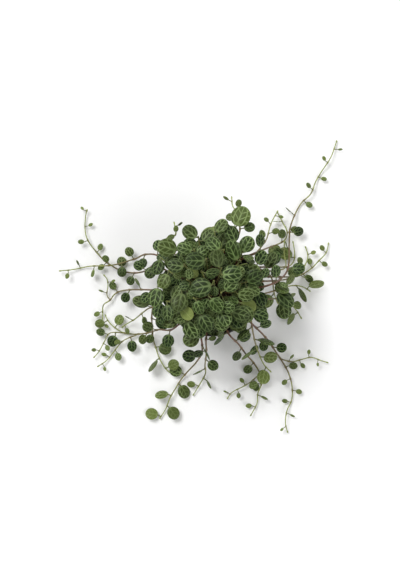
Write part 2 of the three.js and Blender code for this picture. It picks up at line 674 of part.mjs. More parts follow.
// Ways to sit are tried from the natural one to ever looser and smaller ones. A trailing vine's
// leaf takes the first that is in free air, a crown leaf the one that catches the most light.
function settleLeaf(site, draw) {
  const chance = draw(0, 1);
  const flipped = chance > 1 - FLIPPED_SHARE ? FLIPPED : 0;
  const poise = chance < site.edgeOn ? draw(...EDGE_ON) : flipped;
  const tiltSide = draw(0, 1) < 0.5 ? -1 : 1;
  let best = null;
  let mostLight = -1;
  for (let attempt = 0; attempt < ATTEMPTS; attempt += 1) {
    const tries = attempt / ATTEMPTS;
    const shrink = mix(1, SMALLEST_SHARE, smooth((attempt - FULL_SIZE_ATTEMPTS) / ATTEMPTS));
    const loose = mix(...LOOSENESS, tries) * site.steady;
    const heading = turned(site.heading, UP, draw(-1, 1) * mix(SWING, site.swing, tries));
    const raise = draw(...RAISE) + RAISE_MORE * tries + site.lift;
    const droop = draw(...DROOP) * loose - site.perk;
    const roll = draw(...ROLL) * loose + poise * tiltSide;
    const stalk = draw(...site.stalk);
    const leaf = leafAt(site, heading, raise, droop, roll, site.radius * shrink, stalk);
    if (!leafIsClear(leaf)) continue;
    const light = site.seeksLight ? cellsUnder(leaf).filter(cell => !shaded.has(cell)).length : 0;
    if (light > mostLight) {
      best = leaf;
      mostLight = light;
    }
    if (!site.seeksLight) break;
  }
  if (best === null) return null;
  for (const cell of cellsUnder(best)) shaded.add(cell);
  for (const p of best.petiole) twigs.push({ p, r: PETIOLE_RADIUS, owner: best.owner, t: best.t });
  placedLeaves.push(best);
  return best;
}

// ---------------------------------------------------------------- the whole plant's layout

function layTwig(stem, owner) {
  for (const { p, r, t } of stem) {
    laid.push({ p, r });
    twigs.push({ p, r, owner, t });
  }
}

// joints along a trailing stem, with the leaves on alternate sides
function trailingSites(stem, vine, owner, first, draw) {
  const length = stem[stem.length - 1].t;
  const sites = [];
  let hand = draw(0, 1) < 0.5 ? -1 : 1;
  for (let t = first; t < length - JOINT_LENGTH;) {
    const share = t / length;
    const joint = pointAlong(stem, t);
    const level = unit(cross(UP, joint.along));
    const forward = unit([joint.along[0], joint.along[1], 0]);
    const outward = unit([joint.p[0], joint.p[1], 0]);
    const raised = joint.p[2] > LOW_JOINT;
    sites.push({
      joint,
      owner,
      heading: unit(add(times(level, hand), times(forward, LEAF_FORWARD))),
      facing: unit(add(UP, times(outward, raised ? FACE_OUT : 0))),
      perk: raised ? 0 : FLAT_PERK,
      edgeOn: TRAILING_EDGE_ON,
      steady: 1,
      swing: TRAILING_SWING,
      lift: 0,
      stalk: [PETIOLE_LENGTH, PETIOLE_LENGTH],
      seeksLight: false,
      radius: mix(vine.leaf[0], vine.leaf[1], share ** LEAF_TAPER) * draw(...SIZE_DRAW),
    });
    hand = -hand;
    t += mix(vine.gap[0], vine.gap[1], share) * draw(...GAP_DRAW);
  }
  return sites;
}

function crownSites(stem, owner, draw) {
  const length = stem[stem.length - 1].t;
  const firstTurn = draw(0, 360);
  return SHOOT_JOINTS.map((share, i) => {
    const joint = pointAlong(stem, share * length);
    const from = [joint.p[0] - CROWN_LEAN[0] / 2, joint.p[1] - CROWN_LEAN[1] / 2, 0];
    const outward = unit(from);
    const turnOut = mix(FLANK_TURN, 1, share) * size(from) / CROWN_REACH;
    return {
      joint,
      owner,
      heading: turned(outward, UP, firstTurn + GOLDEN_ANGLE * i),
      facing: unit(add(times(UP, CROWN_UP), times(outward, turnOut))),
      perk: 0,
      edgeOn: CROWN_EDGE_ON,
      steady: CROWN_STEADY,
      swing: CROWN_SWING,
      lift: CROWN_LIFT * share,
      stalk: CROWN_PETIOLE,
      seeksLight: true,
      radius: mix(SHOOT_LEAF[0], SHOOT_LEAF[1], share) * draw(...CROWN_SIZE_DRAW),
    };
  });
}

function layOutPlant() {
  const grown = [];
  for (const [i, vine] of VINES.entries()) {
    const stem = trailingStem(vine, i);
    layTwig(stem, vine.name);
    const branches = (vine.branches ?? []).map((branch, j) => {
      const twig = branchStem(branch, stem, i + j);
      layTwig(twig, `${vine.name} branch ${j}`);
      return { stem: twig, at: branch.at * stem[stem.length - 1].t };
    });
    grown.push({ name: vine.name, vine, stem, branches });
  }
  const shoots = [];
  for (let i = 0; i < SHOOT_COUNT; i += 1) {
    const draw = drawsFrom(SEEDS.shoot[0] + SEEDS.shoot[1] * i);
    const name = `crown_shoot_${String(i + 1).padStart(2, '0')}`;
    const stem = crownStem(i, draw);
    layTwig(stem, name);
    shoots.push({ name, stem, leaves: [], branches: [], draw });
  }
  for (const shoot of shoots) shoot.sites = crownSites(shoot.stem, shoot.name, shoot.draw);
  for (let level = SHOOT_JOINTS.length - 1; level >= 0; level -= 1) {
    for (const shoot of shoots) {
      const leaf = settleLeaf(shoot.sites[level], shoot.draw);
      if (leaf) shoot.leaves.push(leaf);
    }
  }
  for (const [i, plant] of grown.entries()) {
    const draw = drawsFrom(SEEDS.vine[0] + SEEDS.vine[1] * i);
    const { vine, stem, branches } = plant;
    const clearOfBranches = site => (
      branches.every(({ at }) => Math.abs(at - site.joint.t) > BRANCH_APART));
    const sites = trailingSites(stem, vine, plant.name, FIRST_LEAF, draw).filter(clearOfBranches);
    plant.leaves = sites.map(site => settleLeaf(site, draw)).filter(leaf => leaf);
    for (const [j, branch] of branches.entries()) {
      const small = { leaf: [vine.leaf[1] + BRANCH_LEAF, BRANCH_TIP_LEAF], gap: BRANCH_GAP };
      const owner = `${plant.name} branch ${j}`;
      const twigSites = trailingSites(branch.stem, small, owner, BRANCH_FIRST_LEAF, draw);
      branch.leaves = twigSites.map(site => settleLeaf(site, draw)).filter(leaf => leaf);
    }
  }
  return [...grown, ...shoots];
}

// ---------------------------------------------------------------- one closed skin per plant

class Skin {
  constructor() {
    this.points = [];
    this.faces = [];
  }

  point(p) {
    this.points.push(...p);
    return this.points.length / 3 - 1;
  }

  at(i) {
    return this.points.slice(i * 3, i * 3 + 3);
  }

  quad(a, b, c, d) {
    this.faces.push(a, b, c, a, c, d);
  }

  // a fan from an apex over a closed loop of points
  fan(apex, loop) {
    loop.forEach((a, i) => this.faces.push(apex, a, loop[(i + 1) % loop.length]));
  }

  // joins two loops of four points, matched corner to nearest corner
  sleeve(from, to) {
    const distance = shift => from.reduce((sum, a, i) => (
      sum + size(sub(this.at(a), this.at(to[(i + shift) % 4])))), 0);
    const shift = [0, 1, 2, 3].reduce((best, s) => (distance(s) < distance(best) ? s : best), 0);
    from.forEach((a, i) => {
      this.quad(a, from[(i + 1) % 4], to[(i + 1 + shift) % 4], to[(i + shift) % 4]);
    });
  }

  geometry() {
    const geometry = new THREE.BufferGeometry();
    geometry.setAttribute('position', new THREE.Float32BufferAttribute(this.points, 3));
    geometry.setIndex(this.faces);
    geometry.computeVertexNormals();
    return geometry;
  }
}

// the leaf and its petiole grow out of the four corners of an opening in the stem's side
function growLeaf(skin, opening, leaf) {
  const { centre, axis, side, normal, radius } = leaf;
  const place = (along, across, up) => add(
    add(centre, times(axis, along)),
    add(times(side, across), times(normal, up)),
  );
  const foot = -radius * LEAF_FOOT;
  const half = Math.min(PETIOLE_RADIUS, radius * PETIOLE_SLIM);
  const [lowRight, highRight, highLeft, lowLeft] = [[1, -1], [1, 1], [-1, 1], [-1, -1]]
    .map(([across, up]) => skin.point(place(foot, across * half, up * half * PETIOLE_FLAT)));
  skin.sleeve(opening, [lowRight, highRight, highLeft, lowLeft]);
  const edgePoints = radius < SMALL_LEAF ? SMALL_LEAF_EDGE : LEAF_EDGE;
  const widest = degrees(LEAF_OPENING);
  const edge = [];
  for (let i = 0; i < edgePoints; i += 1) {
    const angle = widest * (1 - 2 * i / (edgePoints - 1));
    const along = Math.cos(angle) * radius;
    const across = Math.sin(angle) * radius * LEAF_WIDTH;
    edge.push(skin.point(place(along, across, 0)));
  }
  const back = [...edge].reverse();
  const top = skin.point(place(0, 0, radius * LEAF_DOME));
  const bottom = skin.point(place(0, 0, -radius * LEAF_BELLY));
  skin.fan(top, [highLeft, ...back, highRight]);
  skin.fan(bottom, [lowRight, ...edge, lowLeft]);
  skin.faces.push(back[0], highLeft, lowLeft);
  skin.faces.push(edge[0], lowRight, highRight);
}

// rings along a stem: one at each end, two at each joint, one in each long internode
function stationsOf(stem, joints) {
  const length = stem[stem.length - 1].t;
  const stations = [];
  let from = 0;
  for (const joint of [...joints, null]) {
    const to = joint ? joint.t - JOINT_LENGTH / 2 : length;
    const middles = Math.floor((to - from) / LONG_INTERNODE);
    for (let i = 1; i <= middles; i += 1) stations.push({ t: mix(from, to, i / (middles + 1)) });
    stations.push({ t: to, joint });
    if (joint) stations.push({ t: joint.t + JOINT_LENGTH / 2, jointEnd: joint });
    from = to + (joint ? JOINT_LENGTH : 0);
  }
  return stations;
}

function squareRing(skin, { p, r }, u, v, swell) {
  return [[1, -1], [1, 1], [-1, 1], [-1, -1]].map(([a, b]) => (
    skin.point(add(p, times(add(times(u, a), times(v, b)), r * swell * STEM_FACE)))));
}

// grows a stem from a ring of four points, with every joint's leaf or branch
function growStem(skin, firstRing, firstFacing, plant) {
  const { stem } = plant;
  const joints = [
    ...plant.leaves.map(leaf => ({ t: leaf.t, out: leaf.out, leaf })),
    ...plant.branches.map(branch => ({
      t: branch.at, out: sub(branch.stem[BRANCH_FOOT + 1].p, branch.stem[0].p), branch,
    })),
  ].sort((a, b) => a.t - b.t);
  let ring = firstRing;
  let u = firstFacing;
  for (const station of stationsOf(stem, joints)) {
    const here = pointAlong(stem, station.t);
    const w = here.along;
    const joint = station.joint ?? station.jointEnd;
    u = unit(sub(u, times(w, dot(u, w))));
    let face = 0;
    if (joint) {
      const middle = pointAlong(stem, joint.t);
      const facing = unit(sub(joint.out, times(middle.along, dot(joint.out, middle.along))));
      const turn = Math.atan2(dot(facing, cross(w, u)), dot(facing, u));
      face = (Math.round(turn / (Math.PI / 2)) + 4) % 4;
      const ease = turn - Math.round(turn / (Math.PI / 2)) * (Math.PI / 2);
      u = turned(u, w, ease * 180 / Math.PI);
    }
    const v = cross(w, u);
    const next = squareRing(skin, here, u, v, joint ? JOINT_SWELL : 1);
    for (let k = 0; k < 4; k += 1) {
      const opening = [ring[k], ring[(k + 1) % 4], next[(k + 1) % 4], next[k]];
      if (!station.jointEnd || k !== face) skin.quad(...opening);
      else if (joint.leaf) growLeaf(skin, opening, joint.leaf);
      else growBranch(skin, opening, joint.branch);
    }
    ring = next;
  }
  skin.quad(...ring);
}

function growBranch(skin, opening, branch) {
  const first = pointAlong(branch.stem, branch.stem[BRANCH_FOOT].t);
  const w = first.along;
  const level = unit(cross(UP, w));
  const ring = squareRing(skin, first, level, cross(w, level), 1);
  skin.sleeve(opening, ring);
  const rest = branch.stem.slice(BRANCH_FOOT);
  growStem(skin, ring, level, { stem: shifted(rest), leaves: branch.leaves.map(leaf => (
    { ...leaf, t: leaf.t - rest[0].t })), branches: [] });
}

// the same stem with its lengths counted from its own first point
function shifted(stem) {
  const start = stem[0].t;
  return stem.map(point => ({ ...point, t: point.t - start }));
}

function plantGeometry(plant) {
  const skin = new Skin();
  const alongX = [1, 0, 0];
  const alongY = [0, 1, 0];
  const foot = squareRing(skin, plant.stem[0], alongX, alongY, 1);
  skin.quad(...[...foot].reverse());
  growStem(skin, foot, alongX, plant);
  return skin.geometry();
}

// ---------------------------------------------------------------- assembly

const plastic = () => new THREE.MeshStandardMaterial({ color: 0x1f1a18, roughness: 0.55, metalness: 0 });
const peat = () => new THREE.MeshStandardMaterial({ color: 0x2e2119, roughness: 1, metalness: 0 });
const leafGreen = () => new THREE.MeshStandardMaterial({ color: 0x4c6636, roughness: 0.45, metalness: 0 });

const plant = new THREE.Group();

function addPiece(name, geometry, material) {
  const mesh = new THREE.Mesh(geometry, material);
  mesh.name = name;
  plant.add(mesh);
}

addPiece('pot', potGeometry(), plastic());
addPiece('soil', soilGeometry(), peat());
for (const grown of layOutPlant()) addPiece(grown.name, plantGeometry(grown), leafGreen());

export default plant;
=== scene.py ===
import math

import bpy
import numpy as np
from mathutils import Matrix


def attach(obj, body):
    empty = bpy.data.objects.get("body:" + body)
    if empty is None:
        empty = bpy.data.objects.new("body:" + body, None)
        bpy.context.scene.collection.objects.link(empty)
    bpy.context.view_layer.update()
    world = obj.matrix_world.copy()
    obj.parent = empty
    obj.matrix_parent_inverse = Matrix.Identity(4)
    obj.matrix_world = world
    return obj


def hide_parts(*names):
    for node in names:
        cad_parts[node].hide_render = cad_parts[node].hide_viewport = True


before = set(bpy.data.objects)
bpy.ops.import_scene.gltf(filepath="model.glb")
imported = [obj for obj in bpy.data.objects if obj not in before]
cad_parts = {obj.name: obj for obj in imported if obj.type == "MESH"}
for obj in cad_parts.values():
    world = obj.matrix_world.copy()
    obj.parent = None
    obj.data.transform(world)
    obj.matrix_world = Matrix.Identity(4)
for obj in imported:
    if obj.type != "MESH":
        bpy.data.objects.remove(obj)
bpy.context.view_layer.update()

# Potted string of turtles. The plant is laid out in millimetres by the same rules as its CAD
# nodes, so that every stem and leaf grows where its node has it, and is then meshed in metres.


MM = 0.001

# ---- sizes shared with the CAD

POT_HEIGHT = 55
RIM_DIAMETER = 62
BASE_DIAMETER = 44
POT_WALL = 1.2
POT_FLOOR = 1.6
BAND_HEIGHT = 8
BAND_STEP = 1.4
DRAIN_DIAMETER = 5
DRAIN_CIRCLE = 28
DRAIN_COUNT = 5
SOIL_BELOW_LIP = 6
SOIL_DOME = 2.5
CLEARANCE = 0.3

STEM_BASE = 0.75
STEM_TIP = 0.36
STEM_STEP = 1
STEM_APART = 0.9
JOINT_LENGTH = 1.3
JOINT_SWELL = 1.25
OVER_LIP = 1.6
LIE_HEIGHT = 1
LIE_WAVE = 2.6
WAVE_LENGTH = 26
WAVE_SHIFT = 0.37
LIFT_SPREAD = 14
LIFT_TOP = 2
LIFT_ROUNDS = 14
LIFT_SLACK = 0.01
FREE_START = 3
BRANCH_FREE_START = 4
BRANCH_DROP = 16
BRANCH_RADIUS = 0.85
BRANCH_APART = 2.9
FIRST_LEAF = 8
BRANCH_FIRST_LEAF = 6
BRANCH_LEAF = 1.2
BRANCH_TIP_LEAF = 1.3
BRANCH_GAP = (7, 6)

PETIOLE_RADIUS = 0.34
PETIOLE_LENGTH = 2.3
CROWN_PETIOLE = (2.3, 4.8)
LEAF_DOME = 0.17
LEAF_APART = 0.35
GROUND_CLEARANCE = 0.4
ATTEMPTS = 70
FULL_SIZE_ATTEMPTS = 18
SMALLEST_SHARE = 0.4
LEAF_FOOT = 0.97
BLADE_HALF = 0.75
RIM_HALF = 0.1
JOINT_FREE = 3.2
NEAR_MARGIN = 4
SWING = 12
RAISE = (7, 37)
RAISE_MORE = 18
DROOP = (-16, 20)
ROLL = (-22, 22)
LOOSENESS = (1, 2)
EDGE_ON = (55, 80)
TRAILING_EDGE_ON = 0.24
CROWN_EDGE_ON = 0.08
FLIPPED = 170
FLIPPED_SHARE = 0.03
SIZE_DRAW = (0.85, 1.12)
CROWN_SIZE_DRAW = (0.72, 1.15)
GAP_DRAW = (0.85, 1.15)
LOW_JOINT = 8
LEAF_FORWARD = 0.45
FACE_OUT = 0.35
FLAT_PERK = 6
TRAILING_SWING = 60
LEAF_TAPER = 0.8
PETIOLE_SQUARE = 0.75
PETIOLE_SHARES = np.array([0.2, 0.4, 0.6, 0.8, 0.98])
BELLY_SHARE = 0.5
BELLY_THICK = 0.8

SHOOT_COUNT = 34
CROWN_REACH = 35
CROWN_HEIGHT = 32
CROWN_EDGE = 8
CROWN_LEAN = (-3, 7)
SHOOT_SEED_AREA = 0.54
SHOOT_LEAF = (7, 6.2)
SHOOT_JOINTS = (0.32, 0.46, 0.59, 0.71, 0.81, 0.9, 0.98)
GOLDEN_ANGLE = 137.508
LIGHT_CELL = 1.5
CROWN_FRINGE = 5
SHOOT_TRIES = 24
SHOOT_SWAY = (-16, 16)
SHOOT_REACH = (0.86, 1.12)
SHOOT_RISE = (-3, 1)
SHOOT_BEND = (0.22, 0.8)
SHOOT_SLACK = 1.08
CROWN_UP = 1.4
CROWN_STEADY = 0.6
CROWN_SWING = 200
CROWN_LIFT = 36
CROWN_AGE = 0.5  # the oldest crown leaf is as young as the middle of a vine
FLANK_TURN = 2.4
SHOOT_SEED = (7001, 37)
VINE_SEED = (311, 53)

# name, start (azimuth, share of the soil), crest, drop, leaf (near, tip), gap (near, tip), route,
# branches (share of the stem, route)
VINES = [
    ("vine_lower_left_arc", (-168, 0.62), 1, 30, (6, 4.6), (10, 9),
     [(-168, -3), (-169, 7), (-158, 13), (-147, 18), (-140, 22), (-132, 26), (-127, 29),
      (-119, 33), (-113, 34)], []),
    ("vine_left_middle", (-176, 0.78), 2, 29, (5.2, 1.6), (9, 8),
     [(-178, 2), (-180, 11), (-180, 25), (-179, 33), (-177, 37), (-174, 40), (-172, 45),
      (-166, 47), (-161, 51), (-159, 54)],
     [(0.66, [(-177, 42), (-182, 41), (-186, 42), (-188, 45)])]),
    ("vine_lower_left_short", (-151, 0.62), 2, 32, (5, 2), (9, 7),
     [(-158, 2), (-164, 11), (-162, 18), (-159, 26), (-158, 33), (-157, 37)], []),
    ("vine_lower_left_forked", (-132, 0.78), 1, 27, (6, 3.4), (9, 7.5),
     [(-134, 1), (-136, 8), (-143, 14), (-145, 20), (-148, 27), (-153, 36), (-157, 40),
      (-163, 44), (-167, 45)],
     [(0.72, [(-157, 46), (-154, 52), (-151, 59), (-150, 64)]),
      (0.58, [(-150, 40), (-148, 48), (-146, 57), (-146, 65)])]),
    ("vine_left_high", (161, 0.78), 1, 32, (5.6, 1.4), (10, 10),
     [(157, 2), (156, 11), (163, 15), (166, 19), (168, 25), (168, 34), (166, 42), (165, 46),
      (162, 53), (158, 62), (154, 67), (149, 71), (147, 72)], []),
    ("vine_left_long", (147, 0.62), 3, 32, (6, 1.7), (9, 9),
     [(147, 4), (148, 14), (153, 22), (157, 25), (160, 29), (164, 35), (167, 43), (169, 55),
      (171, 63), (172, 68), (173, 76)], []),
    ("vine_upper_left_short", (133, 0.78), 2, 70, (5.4, 1.6), (9, 6),
     [(135, 1), (138, 9), (134, 15), (127, 14), (123, 13), (121, 17), (119, 22)], []),
    ("vine_top_level", (92, 0.62), 5, 90, (6.5, 8), (12, 12),
     [(80, -6), (68, 4), (68, 11), (74, 13), (82, 12), (90, 11)], []),
    ("vine_top_tall", (76, 0.78), 4, 75, (7, 1.7), (8, 6),
     [(66, 1), (64, 9), (65, 13), (69, 19), (72, 24), (76, 27), (78, 34)], []),
    ("vine_upper_right_inner", (64, 0.6), 3, 43, (5.6, 1.3), (9, 6),
     [(50, -2), (40, 6), (41, 12), (43, 20), (48, 30), (50, 41)], []),
    ("vine_upper_right_short", (51, 0.78), 1, 32, (5.4, 2), (12, 8),
     [(44, 1), (37, 16), (34, 30), (37, 35), (43, 37), (50, 40)], []),
    ("vine_right_brown", (45, 0.62), 10, 43, (6.4, 5), (9, 8),
     [(33, -2), (18, 7), (10, 10), (-1, 11), (-9, 14), (-16, 20)], []),
    ("vine_upper_right_leaning", (35, 0.78), 1, 32, (5.6, 4.4), (13, 9),
     [(28, 1), (20, 14), (17, 26), (21, 31), (31, 35)], []),
    ("vine_upper_right_straight", (26, 0.62), 2, 32, (5.6, 6), (13, 12),
     [(23, 1), (17, 13), (17, 22), (26, 25), (34, 30)], []),
    ("vine_right_far_tip", (18, 0.78), 1, 32, (5.6, 1.7), (10, 7),
     [(16, 1), (11, 15), (9, 30), (12, 40), (15, 46), (18, 53), (22, 57)], []),
    ("vine_right_fork_tip", (10, 0.62), 3, 32, (5.6, 1.7), (10, 7),
     [(10, 1), (8, 15), (9, 27), (14, 35), (19, 40), (25, 41)], []),
    ("vine_upper_right_long", (1, 0.78), 2, 35, (5.6, 1.5), (12, 11),
     [(3, 1), (7, 12), (13, 21), (21, 26), (31, 32), (38, 38), (42, 47), (44, 56), (44, 65),
      (46, 73), (47, 81), (48, 93), (50, 105)], []),
    ("vine_right_leafy", (-7, 0.62), 2, 36, (6, 6.2), (9, 8),
     [(-5, 1), (0, 13), (3, 24), (2, 32), (-1, 38)], []),
    ("vine_right_low", (-15, 0.78), 1, 32, (6, 4.6), (9, 8),
     [(-12, 1), (-8, 11), (-8, 21), (-13, 29), (-18, 35)], []),
    ("vine_lower_right_long", (-38, 0.78), 1, 30, (5.6, 1.3), (9, 9),
     [(-40, 1), (-41, 14), (-42, 22), (-44, 31), (-45, 37), (-47, 47), (-50, 56), (-54, 64),
      (-58, 68), (-61, 75), (-62, 82)],
     [(0.46, [(-42, 44), (-38, 48), (-34, 53), (-33, 59), (-32, 65)])]),
    ("vine_lower_right_curl", (-70, 0.78), 1, 29, (5.4, 2.2), (8, 8),
     [(-69, 1), (-64, 9), (-62, 19), (-60, 28), (-60, 36), (-62, 43), (-66, 48), (-68, 54),
      (-73, 61)],
     [(0.6, [(-68, 39), (-73, 40), (-79, 42), (-82, 46)])]),
    ("vine_bottom_short", (-95, 0.62), 1, 29, (5.6, 2.4), (8, 7),
     [(-97, 2), (-95, 11), (-95, 22), (-94, 27), (-97, 35), (-100, 44)], []),
    ("vine_bottom_long", (-110, 0.78), 2, 29, (6, 4.2), (9, 8),
     [(-103, 1), (-99, 11), (-102, 20), (-107, 30), (-109, 36), (-110, 42), (-111, 49),
      (-111, 58), (-112, 66)], []),
    ("vine_over_crown", (-20, 0.6), 12, 35, (6, 5), (8, 8),
     [(-18, -8), (-33, -1), (-44, 6), (-51, 16), (-54, 26), (-55, 33), (-54, 40)], []),
]

# ---- numbers and vectors

UP = np.array([0.0, 0.0, 1.0])


def mix(a, b, share):
    return a + (b - a) * share


def clamp01(x):
    return min(max(x, 0.0), 1.0)


def smooth(x):
    return clamp01(x) ** 2 * (3 - 2 * clamp01(x))


def size(a):
    return math.sqrt(a[0] * a[0] + a[1] * a[1] + a[2] * a[2])


def unit(a):
    return np.asarray(a, float) / size(a)


def dot(a, b):
    return a[0] * b[0] + a[1] * b[1] + a[2] * b[2]


def cross(a, b):
    return np.array([a[1] * b[2] - a[2] * b[1], a[2] * b[0] - a[0] * b[2],
                     a[0] * b[1] - a[1] * b[0]])


def cosine(angle):
    return math.cos(math.radians(angle))


def sine(angle):
    return math.sin(math.radians(angle))


def turned(a, axis, angle):
    c = cosine(angle)
    s = sine(angle)
    return a * c + cross(axis, a) * s + axis * (dot(a, axis) * (1 - c))


def draws_from(seed):
    state = [seed]

    def draw(low, high):
        state[0] = (state[0] * 48271) % 2147483647
        return mix(low, high, state[0] / 2147483647)
    return draw


def nearest_int(x):
    return math.floor(x + 0.5)


# ---- pot and potting mix, in numbers

RIM = RIM_DIAMETER / 2
BASE = BASE_DIAMETER / 2
BAND_FOOT = POT_HEIGHT - BAND_HEIGHT
TAPER = (RIM - BAND_STEP - BASE) / BAND_FOOT


def outer_radius(z):
    return BASE + TAPER * np.minimum(z, BAND_FOOT)


def inner_radius(z):
    return outer_radius(z) - POT_WALL


SOIL_RADIUS = inner_radius(POT_HEIGHT - SOIL_BELOW_LIP) - CLEARANCE


def soil_top(r):
    return POT_HEIGHT - SOIL_BELOW_LIP + SOIL_DOME * (1 - (r / SOIL_RADIUS) ** 2)


# ---- stem routes

def plan_curve(knots):
    t = [0.0]
    for a, b in zip(knots, knots[1:]):
        t.append(t[-1] + math.hypot(b[0] - a[0], b[1] - a[1]))

    def slope(i):
        a, b = max(i - 1, 0), min(i + 1, len(knots) - 1)
        return [(knots[b][k] - knots[a][k]) / (t[b] - t[a]) for k in (0, 1)]
    points = [(knots[0][0], knots[0][1], 0.0)]
    for i in range(1, len(knots)):
        span = t[i] - t[i - 1]
        steps = max(nearest_int(span / STEM_STEP), 1)
        m0, m1 = slope(i - 1), slope(i)
        for j in range(1, steps + 1):
            u = j / steps
            x, y = ((2 * u ** 3 - 3 * u ** 2 + 1) * knots[i - 1][k]
                    + (u ** 3 - 2 * u ** 2 + u) * span * m0[k]
                    + (3 * u ** 2 - 2 * u ** 3) * knots[i][k]
                    + (u ** 3 - u ** 2) * span * m1[k] for k in (0, 1))
            points.append((x, y, t[i - 1] + span * u))
    return np.array(points)


def plan_point(azimuth, radius):
    return radius * cosine(azimuth), radius * sine(azimuth)


class Stem:
    def __init__(self, p, t, base):
        self.p = np.array(p, float)
        self.t = np.array(t, float)
        self.r = mix(base, STEM_TIP, self.t / self.t[-1])
        self.length = float(self.t[-1])

    def along(self, t):
        i = 1
        while i < len(self.t) - 1 and self.t[i] < t:
            i += 1
        share = clamp01((t - self.t[i - 1]) / (self.t[i] - self.t[i - 1]))
        p = self.p[i - 1] * (1 - share) + self.p[i] * share
        return {"p": p, "r": mix(self.r[i - 1], self.r[i], share), "t": t,
                "along": unit(self.p[i] - self.p[i - 1])}


laid_p = np.zeros((0, 3))
laid_r = np.zeros(0)


def lie_height(t, phase):
    wave = 0.5 - 0.5 * np.cos(2 * np.pi * (t / WAVE_LENGTH + phase))
    return GROUND_CLEARANCE + LIE_HEIGHT + LIE_WAVE * wave


def climb_over(stem, free_start):
    for _ in range(LIFT_ROUNDS):
        free = np.nonzero(stem.t >= free_start)[0]
        a, r = stem.p[free], stem.r[free]
        apart = r[:, None] * JOINT_SWELL + laid_r[None] * JOINT_SWELL + STEM_APART
        flat = (a[:, None, :2] - laid_p[None, :, :2]) ** 2
        rest = apart ** 2 - flat[..., 0] - flat[..., 1]
        reach = np.sqrt(np.maximum(rest, 0))
        gap = a[:, None, 2] - laid_p[None, :, 2]
        need = np.where((rest > 0) & (np.abs(gap) < reach), reach - gap, 0)
        need = need.max(1) if need.shape[1] else np.zeros(len(a))
        hits = need > 0
        if not hits.any():
            return
        off = np.abs(stem.t[:, None] - stem.t[free][hits][None])
        away = np.maximum(off - LIFT_TOP, 0) / LIFT_SPREAD
        hump = np.cos(away * np.pi / 2) ** 2
        lift = np.where(away < 1, (need[hits] + LIFT_SLACK)[None] * hump, 0)
        ease = np.array([smooth(t / (free_start * 2)) for t in stem.t])
        stem.p[:, 2] += lift.max(1) * ease


def trailing_stem(start, crest, drop, route, index):
    azimuth, share = start
    knots = [plan_point(azimuth, share * SOIL_RADIUS)]
    knots += [plan_point(angle, RIM + reach) for angle, reach in route]
    points = plan_curve(knots)
    radius = np.hypot(points[:, 0], points[:, 1])
    risen = points[np.argmax(radius > inner_radius(POT_HEIGHT) - STEM_BASE * 2), 2]
    across = points[np.argmax(radius > RIM + STEM_BASE), 2]
    soil_height = soil_top(share * SOIL_RADIUS) + CLEARANCE
    crest_height = POT_HEIGHT + OVER_LIP + crest
    z = []
    for t in points[:, 2]:
        inside = math.sin(clamp01(t / risen) * math.pi / 2)
        outside = smooth((t - across) / drop)
        raised = mix(soil_height, crest_height, inside)
        z.append(mix(raised, lie_height(t, index * WAVE_SHIFT), outside))
    stem = Stem(np.column_stack([points[:, :2], z]), points[:, 2], STEM_BASE)
    climb_over(stem, FREE_START)
    return stem


def branch_stem(at, route, parent, index):
    joint = parent.along(at * parent.length)
    knots = [tuple(joint["p"][:2])] + [plan_point(angle, RIM + reach) for angle, reach in route]
    points = plan_curve(knots)
    z = [mix(joint["p"][2], lie_height(t, index * WAVE_SHIFT + 0.5), smooth(t / BRANCH_DROP))
         for t in points[:, 2]]
    stem = Stem(np.column_stack([points[:, :2], z]), points[:, 2], joint["r"] * BRANCH_RADIUS)
    climb_over(stem, BRANCH_FREE_START)
    return stem


def bent_stem(start, bend, goal):
    steps = nearest_int(size(goal - start) * SHOOT_SLACK / STEM_STEP)
    points, t = [], [0.0]
    for i in range(steps + 1):
        u = i / steps
        points.append(start * (1 - u) ** 2 + bend * (2 * u * (1 - u)) + goal * u ** 2)
        if i:
            t.append(t[-1] + size(points[-1] - points[-2]))
    return Stem(points, t, STEM_BASE)


def crown_stem(index, draw):
    spread = math.sqrt((index + 0.5) / SHOOT_COUNT)
    golden = GOLDEN_ANGLE * index
    x, y = plan_point(golden, spread * SHOOT_SEED_AREA * SOIL_RADIUS)
    start = np.array([x, y, soil_top(math.hypot(x, y)) + CLEARANCE])
    best, best_room = None, None
    for _ in range(SHOOT_TRIES):
        azimuth = golden + draw(*SHOOT_SWAY)
        share = min(spread * draw(*SHOOT_REACH), 1)
        out = plan_point(azimuth, share * CROWN_REACH)
        dome = mix(CROWN_EDGE, CROWN_HEIGHT, math.sqrt(1 - share ** 2)) + draw(*SHOOT_RISE)
        goal = np.array([out[0] + CROWN_LEAN[0], out[1] + CROWN_LEAN[1], POT_HEIGHT + dome])
        bend = mix(start, goal, np.array([SHOOT_BEND[0], SHOOT_BEND[0], SHOOT_BEND[1]]))
        stem = bent_stem(start, bend, goal)
        gaps = np.sqrt(((stem.p[:, None] - laid_p[None]) ** 2).sum(2))
        room = (gaps - (stem.r[:, None] + laid_r[None]) * JOINT_SWELL - STEM_APART).min()
        if best is None or room > best_room:
            best, best_room = stem, room
        if room > 0:
            break
    return best


# ---- leaves in free air

LONGEST_STALK = max(PETIOLE_LENGTH, *CROWN_PETIOLE)
HALF = LEAF_DOME * BLADE_HALF
BELLY_POINTS, EDGE_POINTS = 8, 24
SAMPLES = 1 + BELLY_POINTS + EDGE_POINTS
MOST_LEAVES, MOST_TWIG_POINTS = 600, 9000


def round_trip(count):
    """that many even angles round a circle"""
    return 2 * np.pi * np.arange(count) / count


BELLY_TURN, EDGE_TURN = round_trip(BELLY_POINTS), round_trip(EDGE_POINTS)
SAMPLE_ALONG = np.concatenate([[0], np.cos(BELLY_TURN) * BELLY_SHARE, np.cos(EDGE_TURN)])
SAMPLE_ACROSS = np.concatenate([[0], np.sin(BELLY_TURN) * BELLY_SHARE, np.sin(EDGE_TURN)])


